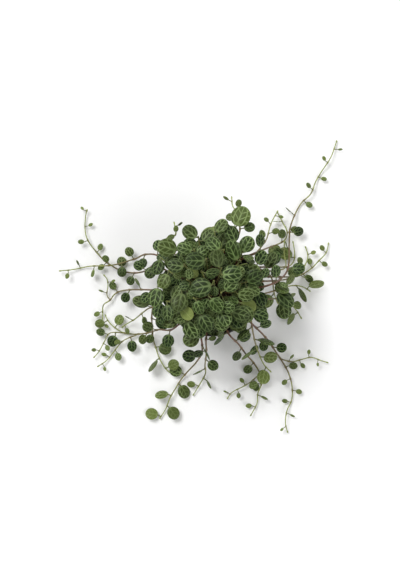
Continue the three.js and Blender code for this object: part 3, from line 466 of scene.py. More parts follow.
class Leaf:
    def __init__(self, site, heading, raise_, droop, roll, radius, stalk):
        joint = site["joint"]
        leaning = heading * cosine(raise_) + UP * sine(raise_)
        away = leaning - joint["along"] * (dot(leaning, joint["along"]) * PETIOLE_SQUARE)
        self.out = unit(away)
        self.axis = unit(heading * cosine(droop) + UP * -sine(droop))
        facing = site["facing"]
        upright = unit(facing - self.axis * dot(facing, self.axis))
        self.normal = turned(upright, self.axis, roll)
        self.foot = joint["p"] + self.out * (joint["r"] + stalk)
        self.centre = self.foot + self.axis * (radius * LEAF_FOOT)
        reach = joint["r"] + stalk * PETIOLE_SHARES
        self.petiole = joint["p"] + self.out * reach[:, None]
        self.side = cross(self.normal, self.axis)
        self.radius, self.stalk = radius, stalk
        self.joint, self.owner, self.t = joint, site["owner"], joint["t"]
        self.samples = (self.centre + self.axis * (SAMPLE_ALONG * radius)[:, None]
                        + self.side * (SAMPLE_ACROSS * radius)[:, None])
        half = radius * HALF
        self.sample_r = np.concatenate([[half], np.full(BELLY_POINTS, half * BELLY_THICK),
                                        np.full(EDGE_POINTS, RIM_HALF)])


def off_disc(p, centre, normal, radius):
    v = p - centre
    height = (v * normal).sum(-1)
    flat = np.sqrt(np.maximum((v * v).sum(-1) - height ** 2, 0))
    return np.where(flat <= radius, np.abs(height), np.hypot(height, flat - radius))


def clear_of_pot(p, r):
    z = p[:, 2]
    radius = np.hypot(p[:, 0], p[:, 1])
    room = r + CLEARANCE
    above = z - room > POT_HEIGHT
    wall = np.where(z + room > BAND_FOOT, RIM, outer_radius(z + room))
    inside = (radius + room < inner_radius(z - room)) & (z - room > soil_top(radius))
    return bool(((z - r >= GROUND_CLEARANCE) & (above | (radius - room > wall) | inside)).all())


class Placed:
    """everything already in place, as arrays"""

    def __init__(self):
        self.count = 0
        self.centre = np.zeros((MOST_LEAVES, 3))
        self.normal = np.zeros((MOST_LEAVES, 3))
        self.radius = np.zeros(MOST_LEAVES)
        self.samples = np.zeros((MOST_LEAVES, SAMPLES, 3))
        self.sample_r = np.zeros((MOST_LEAVES, SAMPLES))
        self.twig_count = 0
        self.twig_p = np.zeros((MOST_TWIG_POINTS, 3))
        self.twig_r = np.zeros(MOST_TWIG_POINTS)
        self.twig_t = np.zeros(MOST_TWIG_POINTS)
        self.twig_owner = np.zeros(MOST_TWIG_POINTS, int)
        self.owners = {}

    def owner(self, name):
        return self.owners.setdefault(name, len(self.owners))

    def add_twig(self, p, r, t, owner):
        a, b = self.twig_count, self.twig_count + len(p)
        self.twig_p[a:b], self.twig_r[a:b], self.twig_t[a:b] = p, r, t
        self.twig_owner[a:b] = self.owner(owner)
        self.twig_count = b

    def add_leaf(self, leaf):
        i = self.count
        self.centre[i], self.normal[i], self.radius[i] = leaf.centre, leaf.normal, leaf.radius
        self.samples[i], self.sample_r[i] = leaf.samples, leaf.sample_r
        self.count = i + 1
        self.add_twig(leaf.petiole, PETIOLE_RADIUS, leaf.t, leaf.owner)

    def is_clear(self, leaf):
        if not clear_of_pot(leaf.samples, leaf.sample_r):
            return False
        if not clear_of_pot(leaf.petiole, np.full(len(leaf.petiole), PETIOLE_RADIUS)):
            return False
        half = leaf.radius * HALF + LEAF_APART
        n = self.count
        away = np.sqrt(((self.centre[:n] - leaf.centre) ** 2).sum(1))
        near = np.nonzero(away < self.radius[:n] + leaf.radius + LONGEST_STALK + NEAR_MARGIN)[0]
        if len(near):
            centre, normal = self.centre[near][:, None], self.normal[near][:, None]
            radius = self.radius[near][:, None]
            other_half = radius * HALF + LEAF_APART
            if (off_disc(leaf.samples[None], centre, normal, radius)
                    < leaf.sample_r[None] + other_half).any():
                return False
            if (off_disc(self.samples[near], leaf.centre, leaf.normal, leaf.radius)
                    < self.sample_r[near] + half).any():
                return False
            if (off_disc(leaf.petiole[None], centre, normal, radius)
                    < PETIOLE_RADIUS + other_half).any():
                return False
        m = self.twig_count
        away = np.sqrt(((self.twig_p[:m] - leaf.centre) ** 2).sum(1))
        near = np.nonzero(away <= leaf.radius + LONGEST_STALK + NEAR_MARGIN)[0]
        if len(near):
            p, r = self.twig_p[near], self.twig_r[near]
            if (off_disc(p, leaf.centre, leaf.normal, leaf.radius) < r + half).any():
                return False
            own = ((self.twig_owner[near] == self.owner(leaf.owner))
                   & (np.abs(self.twig_t[near] - leaf.t) < JOINT_FREE))
            p, r = p[~own], r[~own]
            gaps = np.sqrt(((leaf.petiole[:, None] - p[None]) ** 2).sum(2))
            if (gaps < (r + PETIOLE_RADIUS + LEAF_APART)[None]).any():
                return False
        return True


placed = Placed()
CELLS = 400  # more light cells than the plant has across
shaded = np.zeros((CELLS, CELLS), bool)


def cells_under(leaf):
    reach = math.ceil(leaf.radius / LIGHT_CELL)
    span = np.arange(-reach, reach + 1)
    i = (nearest_int(leaf.centre[0] / LIGHT_CELL) + span)[:, None]
    j = (nearest_int(leaf.centre[1] / LIGHT_CELL) + span)[None]
    dx = i * LIGHT_CELL - leaf.centre[0]
    dy = j * LIGHT_CELL - leaf.centre[1]
    with np.errstate(all="ignore"):
        dz = -(dx * leaf.normal[0] + dy * leaf.normal[1]) / leaf.normal[2]
        covers = dx * dx + dy * dy + dz * dz < leaf.radius ** 2
    off = np.hypot(i * LIGHT_CELL - CROWN_LEAN[0], j * LIGHT_CELL - CROWN_LEAN[1])
    a, b = np.nonzero(covers & (off < CROWN_REACH + CROWN_FRINGE))
    return i[a, 0] + CELLS // 2, j[0, b] + CELLS // 2


def settle_leaf(site, draw):
    chance = draw(0, 1)
    flipped = FLIPPED if chance > 1 - FLIPPED_SHARE else 0
    poise = draw(*EDGE_ON) if chance < site["edge_on"] else flipped
    tilt_side = -1 if draw(0, 1) < 0.5 else 1
    best, most_light = None, -1
    for attempt in range(ATTEMPTS):
        tries = attempt / ATTEMPTS
        shrink = mix(1, SMALLEST_SHARE, smooth((attempt - FULL_SIZE_ATTEMPTS) / ATTEMPTS))
        loose = mix(*LOOSENESS, tries) * site["steady"]
        heading = turned(site["heading"], UP, draw(-1, 1) * mix(SWING, site["swing"], tries))
        raise_ = draw(*RAISE) + RAISE_MORE * tries + site["lift"]
        droop = draw(*DROOP) * loose - site["perk"]
        roll = draw(*ROLL) * loose + poise * tilt_side
        stalk = draw(*site["stalk"])
        leaf = Leaf(site, heading, raise_, droop, roll, site["radius"] * shrink, stalk)
        if not placed.is_clear(leaf):
            continue
        light = int((~shaded[cells_under(leaf)]).sum()) if site["seeks_light"] else 0
        if light > most_light:
            best, most_light = leaf, light
        if not site["seeks_light"]:
            break
    if best is None:
        return None
    shaded[cells_under(best)] = True
    best.age = site["age"]
    placed.add_leaf(best)
    return best


# ---- the whole plant's layout

def lay_twig(stem, owner):
    global laid_p, laid_r
    laid_p = np.concatenate([laid_p, stem.p])
    laid_r = np.concatenate([laid_r, stem.r])
    placed.add_twig(stem.p, stem.r, stem.t, owner)


def trailing_sites(stem, leaf, gap, owner, first, draw):
    sites = []
    hand = -1 if draw(0, 1) < 0.5 else 1
    t = first
    while t < stem.length - JOINT_LENGTH:
        share = t / stem.length
        joint = stem.along(t)
        level = unit(cross(UP, joint["along"]))
        forward = unit([joint["along"][0], joint["along"][1], 0])
        outward = unit([joint["p"][0], joint["p"][1], 0])
        high = joint["p"][2] > LOW_JOINT
        sites.append({
            "joint": joint, "owner": owner,
            "heading": unit(level * hand + forward * LEAF_FORWARD),
            "facing": unit(UP + outward * (FACE_OUT if high else 0)),
            "perk": 0 if high else FLAT_PERK, "steady": 1, "edge_on": TRAILING_EDGE_ON,
            "swing": TRAILING_SWING, "lift": 0, "stalk": (PETIOLE_LENGTH, PETIOLE_LENGTH),
            "seeks_light": False, "age": share,
            "radius": mix(leaf[0], leaf[1], share ** LEAF_TAPER) * draw(*SIZE_DRAW)})
        hand = -hand
        t += mix(gap[0], gap[1], share) * draw(*GAP_DRAW)
    return sites


def crown_sites(stem, owner, draw):
    first_turn = draw(0, 360)
    sites = []
    for i, share in enumerate(SHOOT_JOINTS):
        joint = stem.along(share * stem.length)
        inward = [joint["p"][0] - CROWN_LEAN[0] / 2, joint["p"][1] - CROWN_LEAN[1] / 2, 0]
        outward = unit(inward)
        turn_out = mix(FLANK_TURN, 1, share) * size(inward) / CROWN_REACH
        sites.append({
            "joint": joint, "owner": owner,
            "heading": turned(outward, UP, first_turn + GOLDEN_ANGLE * i),
            "facing": unit(UP * CROWN_UP + outward * turn_out), "perk": 0,
            "steady": CROWN_STEADY, "edge_on": CROWN_EDGE_ON, "swing": CROWN_SWING,
            "lift": CROWN_LIFT * share, "stalk": CROWN_PETIOLE,
            "seeks_light": True, "age": share * CROWN_AGE,
            "radius": mix(SHOOT_LEAF[0], SHOOT_LEAF[1], share) * draw(*CROWN_SIZE_DRAW)})
    return sites


def lay_out_plant():
    grown = []
    for i, (name, start, crest, drop, leaf, gap, route, branches) in enumerate(VINES):
        stem = trailing_stem(start, crest, drop, route, i)
        lay_twig(stem, name)
        twigs = []
        for j, (at, way) in enumerate(branches):
            twig = branch_stem(at, way, stem, i + j)
            lay_twig(twig, f"{name} branch {j}")
            twigs.append({"stem": twig, "at": at * stem.length})
        grown.append({"name": name, "stem": stem, "branches": twigs, "leaf": leaf, "gap": gap})
    shoots = []
    for i in range(SHOOT_COUNT):
        draw = draws_from(SHOOT_SEED[0] + SHOOT_SEED[1] * i)
        name = f"crown_shoot_{i + 1:02d}"
        stem = crown_stem(i, draw)
        lay_twig(stem, name)
        shoots.append({"name": name, "stem": stem, "branches": [], "leaves": [], "draw": draw})
    for shoot in shoots:
        shoot["sites"] = crown_sites(shoot["stem"], shoot["name"], shoot["draw"])
    for level in reversed(range(len(SHOOT_JOINTS))):
        for shoot in shoots:
            leaf = settle_leaf(shoot["sites"][level], shoot["draw"])
            if leaf:
                shoot["leaves"].append(leaf)
    for i, plant in enumerate(grown):
        draw = draws_from(VINE_SEED[0] + VINE_SEED[1] * i)
        sites = trailing_sites(plant["stem"], plant["leaf"], plant["gap"], plant["name"],
                               FIRST_LEAF, draw)
        sites = [s for s in sites if all(abs(b["at"] - s["joint"]["t"]) > BRANCH_APART
                                         for b in plant["branches"])]
        plant["leaves"] = [leaf for leaf in (settle_leaf(s, draw) for s in sites) if leaf]
        for j, branch in enumerate(plant["branches"]):
            small = (plant["leaf"][1] + BRANCH_LEAF, BRANCH_TIP_LEAF)
            owner = f"{plant['name']} branch {j}"
            sites = trailing_sites(branch["stem"], small, BRANCH_GAP, owner,
                                   BRANCH_FIRST_LEAF, draw)
            branch["leaves"] = [leaf for leaf in (settle_leaf(s, draw) for s in sites) if leaf]
    return grown + shoots


# ---- meshes

class Shape:
    """vertices in millimetres, faces, and named per-vertex values"""

    def __init__(self, *values):
        self.points, self.faces, self.count = [], [], 0
        self.values = {name: [] for name in values}

    def add(self, points, faces, **values):
        self.points.append(points)
        self.faces += [tuple(int(i) + self.count for i in face) for face in faces]
        for name, value in values.items():
            self.values[name].append(np.broadcast_to(value, (len(points), 3)))
        self.count += len(points)

    def build(self, name, material):
        mesh = bpy.data.meshes.new(name)
        points = np.concatenate(self.points) * MM
        mesh.from_pydata(points.tolist(), [], self.faces)
        mesh.validate()
        for key, parts in self.values.items():
            layer = mesh.attributes.new(key, "FLOAT_VECTOR", "POINT")
            layer.data.foreach_set("vector", np.concatenate(parts).astype(np.float32).ravel())
        mesh.materials.append(material)
        mesh.shade_smooth()
        made = bpy.data.objects.new(name, mesh)
        bpy.context.scene.collection.objects.link(made)
        return made


def grid_faces(rows, columns):
    """quads between rings of points; each ring closes on itself"""
    i = np.arange(rows - 1)[:, None] * columns
    j = np.arange(columns)[None]
    k = (j + 1) % columns
    quads = np.stack([i + j, i + k, i + k + columns, i + j + columns], -1)
    return quads.reshape(-1, 4).tolist()


def capped_faces(rows, columns):
    """the same, closed by a fan at each end; the two fans' points follow the last ring"""
    faces = grid_faces(rows, columns)
    last = rows * columns
    for k in range(columns):
        n = (k + 1) % columns
        faces.append((last, n, k))
        faces.append((last + 1, last - columns + k, last - columns + n))
    return faces


def tube(shape, p, r, sides, **values):
    """a closed round tube; values are given per ring"""
    ahead = np.gradient(p, axis=0)
    ahead /= np.linalg.norm(ahead, axis=1)[:, None]
    u = np.cross(ahead[0], [0.3, 0.2, 1.0] if abs(ahead[0][2]) < 0.9 else [1.0, 0.2, 0.1])
    frames = []
    for w in ahead:
        u = u - w * (u @ w)
        u /= np.linalg.norm(u)
        frames.append((u, np.cross(w, u)))
    turn = round_trip(sides)
    rings = np.array([c + rr * (np.cos(turn)[:, None] * a + np.sin(turn)[:, None] * b)
                      for c, rr, (a, b) in zip(p, r, frames)])
    points = np.concatenate([rings.reshape(-1, 3), p[:1] - ahead[:1] * r[0] * 0.3,
                             p[-1:] + ahead[-1:] * r[-1] * 0.6])
    spread = {key: np.concatenate([np.repeat(v, sides, 0), v[:1], v[-1:]])
              for key, v in values.items()}
    shape.add(points, capped_faces(len(p), sides), **spread)


def finer(p, steps):
    """a smooth curve through p with that many steps to each span"""
    before = np.concatenate([p[:1] * 2 - p[1:2], p[:-1]])
    after = np.concatenate([p[1:], p[-1:] * 2 - p[-2:-1]])
    slope = (after - before) / 2
    u = (np.arange(steps) / steps)[None, :, None]
    a, b = p[:-1, None], p[1:, None]
    m, n = slope[:-1, None], slope[1:, None]
    curve = ((2 * u ** 3 - 3 * u ** 2 + 1) * a + (u ** 3 - 2 * u ** 2 + u) * m
             + (3 * u ** 2 - 2 * u ** 3) * b + (u ** 3 - u ** 2) * n)
    return np.concatenate([curve.reshape(-1, p.shape[1]), p[-1:]])


def eased(p, rounds):
    for _ in range(rounds):
        p = np.concatenate([p[:1], (p[:-2] + 2 * p[1:-1] + p[2:]) / 4, p[-1:]])
    return p


def grow_stem(shape, stem, leaves, ages, sunk, branch_at=()):
    """the stem with a swelling at each leaf, its tip bud and its petioles"""
    line = np.column_stack([eased(stem.p, 3), stem.t, stem.r])
    if sunk:
        foot = line[0].copy()
        foot[2] -= 2.2
        foot[3] -= 2.2
        line = np.concatenate([foot[None], line])
    line = finer(line, 2)
    p, t, r = line[:, :3], line[:, 3], line[:, 4]
    swell = np.zeros(len(t))
    for at in [leaf.t for leaf in leaves] + list(branch_at):
        swell = np.maximum(swell, np.exp(-((t - at) / 0.95) ** 2))
    share = np.clip(t / stem.length, 0, 1)
    radius = r * (0.92 + 0.42 * swell)
    radius += 0.22 * np.exp(-((t - stem.length + 0.9) / 0.7) ** 2)
    radius[-1] *= 0.45
    wander = np.sin(t * 0.9 + stem.p[0][0]) * 0.5 + 0.5
    look = np.column_stack([mix(ages[0], ages[1], share), swell, wander])
    tube(shape, p, radius, 10, look=look)
    for leaf in leaves:
        grow_petiole(shape, stem, leaf)


def grow_petiole(shape, stem, leaf):
    start = leaf.joint["p"]
    reach = leaf.joint["r"] + leaf.stalk
    inside = leaf.foot + leaf.axis * leaf.radius * 0.1 + leaf.normal * leaf.radius * -0.02
    a, b, c, d = (start, start + leaf.out * reach * 0.6,
                  leaf.foot - leaf.axis * min(leaf.stalk, leaf.radius) * 0.25, inside)
    u = np.linspace(0, 1, 9)[:, None]
    p = a * (1 - u) ** 3 + b * 3 * u * (1 - u) ** 2 + c * 3 * u ** 2 * (1 - u) + d * u ** 3
    u = u[:, 0]
    thick = min(0.42, 0.16 + leaf.radius * 0.05)
    r = thick * (1 + 0.35 * np.exp(-(u / 0.16) ** 2) + 0.3 * np.exp(-((1 - u) / 0.2) ** 2))
    r[-1] *= 0.6
    look = np.column_stack([np.full(9, 0.42 + 0.4 * leaf.age), np.zeros(9), np.full(9, 2.0)])
    tube(shape, p, r, 8, look=look)


LEAF_RINGS = np.array([0.0, 0.16, 0.32, 0.48, 0.63, 0.76, 0.87, 0.95, 0.99])
BELLY_RINGS = np.array([1.0, 0.965, 0.86, 0.66, 0.42, 0.2, 0.0])
SECTORS = 30


def grow_blade(shape, leaf, draw):
    """a thick round blade: domed on top, rounded at the edge, slightly cupped under"""
    young = clamp01((3.6 - leaf.radius) / 2.4)
    angle = round_trip(SECTORS)
    notch = draw(0.0, 0.06) * (1 - young)
    point = draw(-0.02, 0.035) + 0.05 * young
    lopside = draw(-0.03, 0.03)
    edge = (1 - notch * np.exp(-((np.pi - angle) % np.pi) ** 2 / 0.1) * (np.cos(angle) < 0)
            + point * np.exp(-(np.minimum(angle, 2 * np.pi - angle) / 0.35) ** 2)
            + lopside * np.sin(angle) + draw(0, 0.012) * np.sin(3 * angle + draw(0, 6.28)))
    narrow = 0.95 - 0.3 * young - draw(0, 0.04)
    cup = draw(0.03, 0.12)
    twist = draw(-0.06, 0.06)
    fold = draw(-0.015, 0.05)
    ripple, ripple_at = draw(0, 0.018), draw(0, 6.28)

    def surface(rings, top):
        s = rings[:, None]
        x = s * edge * np.cos(angle) * 0.985
        y = s * edge * np.sin(angle) * narrow
        rim = np.sqrt(np.maximum(1 - s ** 5, 0))
        if top:
            thick = 0.052 * (1 - s ** 2) + 0.06 * rim
            groove = 0.022 * np.exp(-(y / 0.07) ** 2) * (1 - s ** 4)
            thick = thick - groove
        else:
            ridge = 0.016 * np.exp(-(y / 0.08) ** 2) * np.clip(0.6 - x, 0, 1)
            thick = -0.035 * (1 - s ** 2) - 0.05 * rim - ridge
        bend = cup * (0.45 - s ** 2) + twist * x * y + fold * np.abs(y)
        bend = bend + ripple * s ** 2 * np.sin(3 * angle + ripple_at)
        z = np.broadcast_to(thick + bend, x.shape)
        local = np.stack([x, y, z], -1)
        return local[1:] if rings[0] == 0 else local[:-1]

    upper = surface(LEAF_RINGS, True)
    lower = surface(BELLY_RINGS, False)
    rings = np.concatenate([upper, lower])
    mid = [0.45 * cup + 0.09, 0.45 * cup - 0.095]
    local = np.concatenate([rings.reshape(-1, 3), [[0, 0, mid[0]], [0, 0, mid[1]]]])
    faces = [(face[0], *face[:0:-1]) for face in capped_faces(len(rings), SECTORS)]
    points = (leaf.centre + leaf.radius * (local[:, :1] * leaf.axis + local[:, 1:2] * leaf.side
                                           + local[:, 2:] * leaf.normal))
    face_up = np.concatenate([np.ones(len(upper) * SECTORS), np.zeros(len(lower) * SECTORS),
                              [1, 0]])
    blade = np.column_stack([local[:, 0] / 0.985, local[:, 1] / narrow, face_up])
    tone = np.array([draw(0, 1), draw(0, 1), max(young, clamp01(leaf.age * 1.6 - 0.7))])
    shape.add(points, faces, blade=blade, tone=tone)


# ---- materials

class Nodes:
    """short names for building a node material"""

    def __init__(self, name):
        self.material = bpy.data.materials.new(name)
        self.material.use_nodes = True
        self.tree = self.material.node_tree
        self.shader = self.tree.nodes["Principled BSDF"]

    def put(self, socket, value):
        if isinstance(value, bpy.types.NodeSocket):
            self.tree.links.new(value, socket)
        elif value is not None:
            socket.default_value = value

    def node(self, kind, inputs=(), out=0, **settings):
        made = self.tree.nodes.new(kind)
        for key, value in settings.items():
            setattr(made, key, value)
        for key, value in (inputs.items() if isinstance(inputs, dict) else enumerate(inputs)):
            self.put(made.inputs[key], value)
        return made.outputs[out]

    def math(self, operation, *inputs):
        return self.node("ShaderNodeMath", inputs, operation=operation)

    def mul(self, a, b):
        return self.math("MULTIPLY", a, b)

    def add(self, a, b):
        return self.math("ADD", a, b)

    def sub(self, a, b):
        return self.math("SUBTRACT", a, b)

    def most(self, a, b):
        return self.math("MAXIMUM", a, b)

    def size(self, a):
        return self.math("ABSOLUTE", a)

    def range(self, value, low, high, to_low=0.0, to_high=1.0):
        return self.node("ShaderNodeMapRange", (value, low, high, to_low, to_high),
                         interpolation_type="SMOOTHSTEP")

    def attribute(self, name):
        return self.node("ShaderNodeAttribute", out="Vector", attribute_name=name)

    def split(self, vector):
        made = self.tree.nodes.new("ShaderNodeSeparateXYZ")
        self.put(made.inputs[0], vector)
        return made.outputs

    def place(self):
        return self.node("ShaderNodeTexCoord", out="Object")

    def noise(self, vector, scale, detail=3.0, roughness=0.55):
        return self.node("ShaderNodeTexNoise", {"Vector": vector, "Scale": scale, "Detail": detail,
                                                "Roughness": roughness}, out="Fac")

    def blend(self, share, a, b, kind="MIX"):
        made = self.tree.nodes.new("ShaderNodeMix")
        made.data_type = "RGBA"
        made.blend_type = kind
        for socket, value in ((made.inputs["Factor"], share), (made.inputs[6], a),
                              (made.inputs[7], b)):
            self.put(socket, value)
        return made.outputs[2]

    def between(self, value, pair, low=0.3, high=0.7):
        return self.blend(self.range(value, low, high), *pair)

    def bump(self, height, distance, strength=1.0, normal=None):
        return self.node("ShaderNodeBump", {"Strength": strength, "Distance": distance,
                                            "Height": height, "Normal": normal})

    def set(self, **values):
        for key, value in values.items():
            self.put(self.shader.inputs[key.replace("_", " ")], value)
        return self.material


def colour(r, g, b):
    """a colour given as it looks on screen, 0 to 255"""
    return tuple(((c / 255 + 0.055) / 1.055) ** 2.4 if c > 10 else c / 3294
                 for c in (r, g, b)) + (1,)


LEAF_DEEP = colour(11, 23, 6), colour(22, 37, 12)
LEAF_MIDDLE = colour(40, 60, 22)
LEAF_YOUNG = colour(126, 142, 72)
LEAF_VEIN = colour(116, 140, 84), colour(140, 160, 106)
LEAF_YOUNG_VEIN = colour(172, 182, 118)
LEAF_OLIVE = colour(84, 92, 42)
LEAF_DARK = colour(22, 34, 16)
LEAF_UNDER = colour(106, 120, 62), colour(130, 142, 80)
LEAF_UNDER_VEIN, LEAF_UNDER_RIM = colour(150, 160, 100), colour(98, 92, 52)
STEM_OLD = colour(70, 42, 30), colour(116, 78, 54)
STEM_MIDDLE = colour(98, 84, 48), colour(118, 106, 62)
STEM_YOUNG = colour(120, 134, 66), colour(156, 164, 92)
STEM_JOINT = colour(98, 74, 48)
PETIOLE_GREEN = colour(62, 74, 32), colour(92, 100, 50)
POT_BLACK, POT_DUST = (colour(26, 23, 21), colour(38, 34, 31)), colour(84, 71, 56)
PEAT, PEAT_CLUMP = (colour(30, 22, 17), colour(78, 58, 42)), colour(56, 42, 32)
PERLITE = colour(178, 172, 160), colour(222, 218, 208)
BARK = colour(70, 46, 30), colour(120, 86, 56)


def leaf_material():
    n = Nodes("leaf")
    x, y, up = n.split(n.attribute("blade"))
    tone_a, tone_b, young = n.split(n.attribute("tone"))
    where = n.place()
    # the vein lines wander a little
    shaky = n.mul(n.sub(n.noise(where, 300.0, 2.0), 0.5), 0.22)
    y_shaky = n.add(y, n.mul(shaky, 0.5))
    x_shaky = n.add(x, shaky)
    away = n.size(y_shaky)
    # bow: 0 on the midrib, 1 at the margin, constant along arcs from the leaf's foot to its tip
    room = n.most(n.sub(1.0, n.mul(x, x)), 0.02)
    width = n.math("POWER", room, 0.5)
    bow = n.math("DIVIDE", away, width)
    fine = n.mul(n.add(n.mul(tone_a, 0.5), 0.75), 0.062)

    def line(distance, thickness):
        return n.sub(1.0, n.range(distance, n.mul(thickness, 0.15),
                                               n.mul(thickness, 1.6)))

    def arc(at, thickness):
        return line(n.mul(n.size(n.sub(bow, at)), width),
                    thickness)

    def rungs(slant, spacing, shift, low, high, thickness):
        """cross veins between two arcs"""
        run = n.sub(x_shaky, n.mul(away, slant))
        phase = n.math("FRACT", n.add(n.math("DIVIDE", run, spacing), shift))
        distance = n.mul(n.size(n.sub(phase, 0.5)), spacing)
        inside = n.mul(n.range(bow, low - 0.04, low + 0.04),
                        n.range(bow, high + 0.04, high - 0.04))
        return n.mul(line(distance, thickness), inside)

    def net(thick):
        """the whole pattern, for lines of that thickness"""
        midrib = line(away, n.mul(thick, n.range(x, -1.0, 0.9, 1.6, 0.7)))
        shift = n.mul(tone_b, 0.35)
        parts = (arc(0.6, n.mul(thick, 0.9)),
                 n.mul(arc(0.94, n.mul(thick, 0.7)), 0.5),
                 rungs(0.85, 0.62, shift, 0.0, 0.6, n.mul(thick, 0.85)),
                 n.mul(rungs(0.4, 0.56, n.add(shift, 0.5), 0.6, 0.94,
                                          thick), 0.8))
        veins = midrib
        for other in parts:
            veins = n.most(veins, other)
        return midrib, veins
    midrib, veins = net(fine)
    halo = net(n.mul(fine, 3.2))[1]
    foot = n.range(n.add(n.mul(n.add(x, 1.0),
                                        n.add(x, 1.0)), n.mul(y, y)),
                   0.0, 0.22, 1.0, 0.0)
    rim = n.range(bow, 0.9, 1.03)
    patch = n.range(n.noise(where, 130.0, 2.0), 0.32, 0.68)
    clear = n.mul(veins, n.range(patch, 0.0, 1.0, 0.5, 1.0))
    clear = n.most(clear, n.mul(foot, 0.8))
    clear = n.most(clear, n.mul(rim, 0.4))
    deep = n.blend(tone_b, *LEAF_DEEP)
    deep = n.blend(n.mul(n.range(n.noise(where, 55.0, 2.0), 0.35, 0.7), 0.45), deep,
                   LEAF_MIDDLE)
    deep = n.blend(n.mul(halo, 0.5), deep, LEAF_MIDDLE)
    deep = n.blend(n.mul(young, 0.8), deep, LEAF_YOUNG)
    pale = n.blend(tone_a, *LEAF_VEIN)
    pale = n.blend(n.mul(young, 0.6), pale, LEAF_YOUNG_VEIN)
    upper = n.blend(n.mul(clear, 0.92), deep, pale)
    # some leaves are older and more olive, some darker
    upper = n.blend(n.range(tone_a, 0.55, 1.0, 0.0, 0.35), upper, LEAF_OLIVE)
    upper = n.blend(n.range(tone_b, 0.5, 0.0, 0.0, 0.4), upper, LEAF_DARK)
    under_vein = n.mul(n.most(midrib, n.mul(veins, 0.35)), 0.5)
    under = n.between(n.noise(where, 120.0, 3.0), LEAF_UNDER, high=0.75)
    under = n.blend(under_vein, under, LEAF_UNDER_VEIN)
    under = n.blend(n.mul(rim, 0.35), under, LEAF_UNDER_RIM)
    face = n.range(up, 0.35, 0.65)
    fleck = n.noise(where, 1500.0, 2.0, 0.7)
    height = n.add(n.mul(halo, -0.7), n.mul(fleck, 0.1))
    height = n.add(height, n.mul(n.noise(where, 260.0, 2.0), 0.3))
    rough = n.add(n.mul(veins, 0.06), n.range(fleck, 0.3, 0.7, 0.34, 0.5))
    rough = n.blend(face, (0.52, 0.52, 0.52, 1), rough)
    return n.set(Base_Color=n.blend(face, under, upper), Roughness=rough,
                 Normal=n.bump(height, 0.00022, 0.8), Subsurface_Weight=0.03,
                 Subsurface_Radius=(0.3, 0.6, 0.12), Subsurface_Scale=0.001,
                 Specular_IOR_Level=0.13)


def stem_material():
    n = Nodes("stem")
    age, swell, wander = n.split(n.attribute("look"))
    where = n.place()
    streak = n.noise(where, 700.0, 3.0, 0.6)
    old, middle, tip, green = (n.between(streak, pair) for pair in (
        STEM_OLD, STEM_MIDDLE, STEM_YOUNG, PETIOLE_GREEN))
    petiole = n.range(wander, 1.2, 1.8)
    sway = n.mul(n.sub(n.math("MINIMUM", wander, 1.0), 0.5), 0.12)
    shift = n.add(age, sway)
    bark = n.blend(n.range(shift, 0.2, 0.5), old, middle)
    bark = n.blend(n.range(shift, 0.5, 0.85), bark, tip)
    bark = n.blend(n.mul(swell, 0.35), bark, STEM_JOINT)
    bark = n.blend(n.mul(petiole, 0.8), bark, green)
    height = n.add(n.mul(streak, 0.6), n.noise(where, 2400.0, 2.0))
    return n.set(Base_Color=bark, Roughness=n.range(streak, 0.2, 0.8, 0.42, 0.6),
                 Normal=n.bump(height, 0.00008, 0.8), Subsurface_Weight=0.08,
                 Subsurface_Radius=(0.5, 0.4, 0.15), Subsurface_Scale=0.0008)


def pot_material():
    n = Nodes("pot_plastic")
    where = n.place()
    cloud = n.noise(where, 38.0, 4.0)
    grain = n.noise(where, 3200.0, 2.0, 0.7)
    x, y, z = n.split(where)
    dust = n.mul(n.range(n.noise(where, 190.0, 5.0, 0.7), 0.52, 0.78),
                  n.range(z, 0.03, 0.056, 0.12, 0.5))
    body = n.between(cloud, POT_BLACK, 0.35)
    body = n.blend(dust, body, POT_DUST)
    height = n.add(n.mul(grain, 0.5), cloud)
    return n.set(Base_Color=body, Roughness=n.range(cloud, 0.3, 0.7, 0.42, 0.58),
                 Normal=n.bump(height, 0.00006, 0.7), Specular_IOR_Level=0.45)


def soil_material():
    n = Nodes("potting_mix")
    where = n.place()
    kind = n.split(n.attribute("grit"))[0]
    crumb = n.noise(where, 900.0, 5.0, 0.7)
    clump = n.noise(where, 150.0, 3.0)
    fibre = n.node("ShaderNodeTexVoronoi", {"Vector": where, "Scale": 620.0}, out="Distance")
    peat = n.between(crumb, PEAT)
    peat = n.blend(n.mul(n.range(clump, 0.4, 0.7), 0.5), peat, PEAT_CLUMP)
    stone = n.between(crumb, PERLITE, high=0.75)
    bark = n.between(crumb, BARK)
    body = n.blend(n.range(kind, 0.2, 0.4), peat, bark)
    body = n.blend(n.range(kind, 0.6, 0.8), body, stone)
    height = n.add(crumb, n.mul(fibre, 0.8))
    return n.set(Base_Color=body, Roughness=n.range(crumb, 0.2, 0.8, 0.82, 1.0),
                 Normal=n.bump(height, 0.0006, 1.0), Specular_IOR_Level=0.2)


# ---- pot and potting mix

POT_SIDES = 180
FLUTES = 20
FLUTE_DEPTH = 0.22
FLUTE_MARGIN = 3  # height of plain wall above and below the flutes
FLUTE_FADE = 4
DRAIN_SIDES = 48
SOIL_SIDES = 120
SOIL_RINGS = 44
SOIL_WAVES = 26
CRUMBS = 420


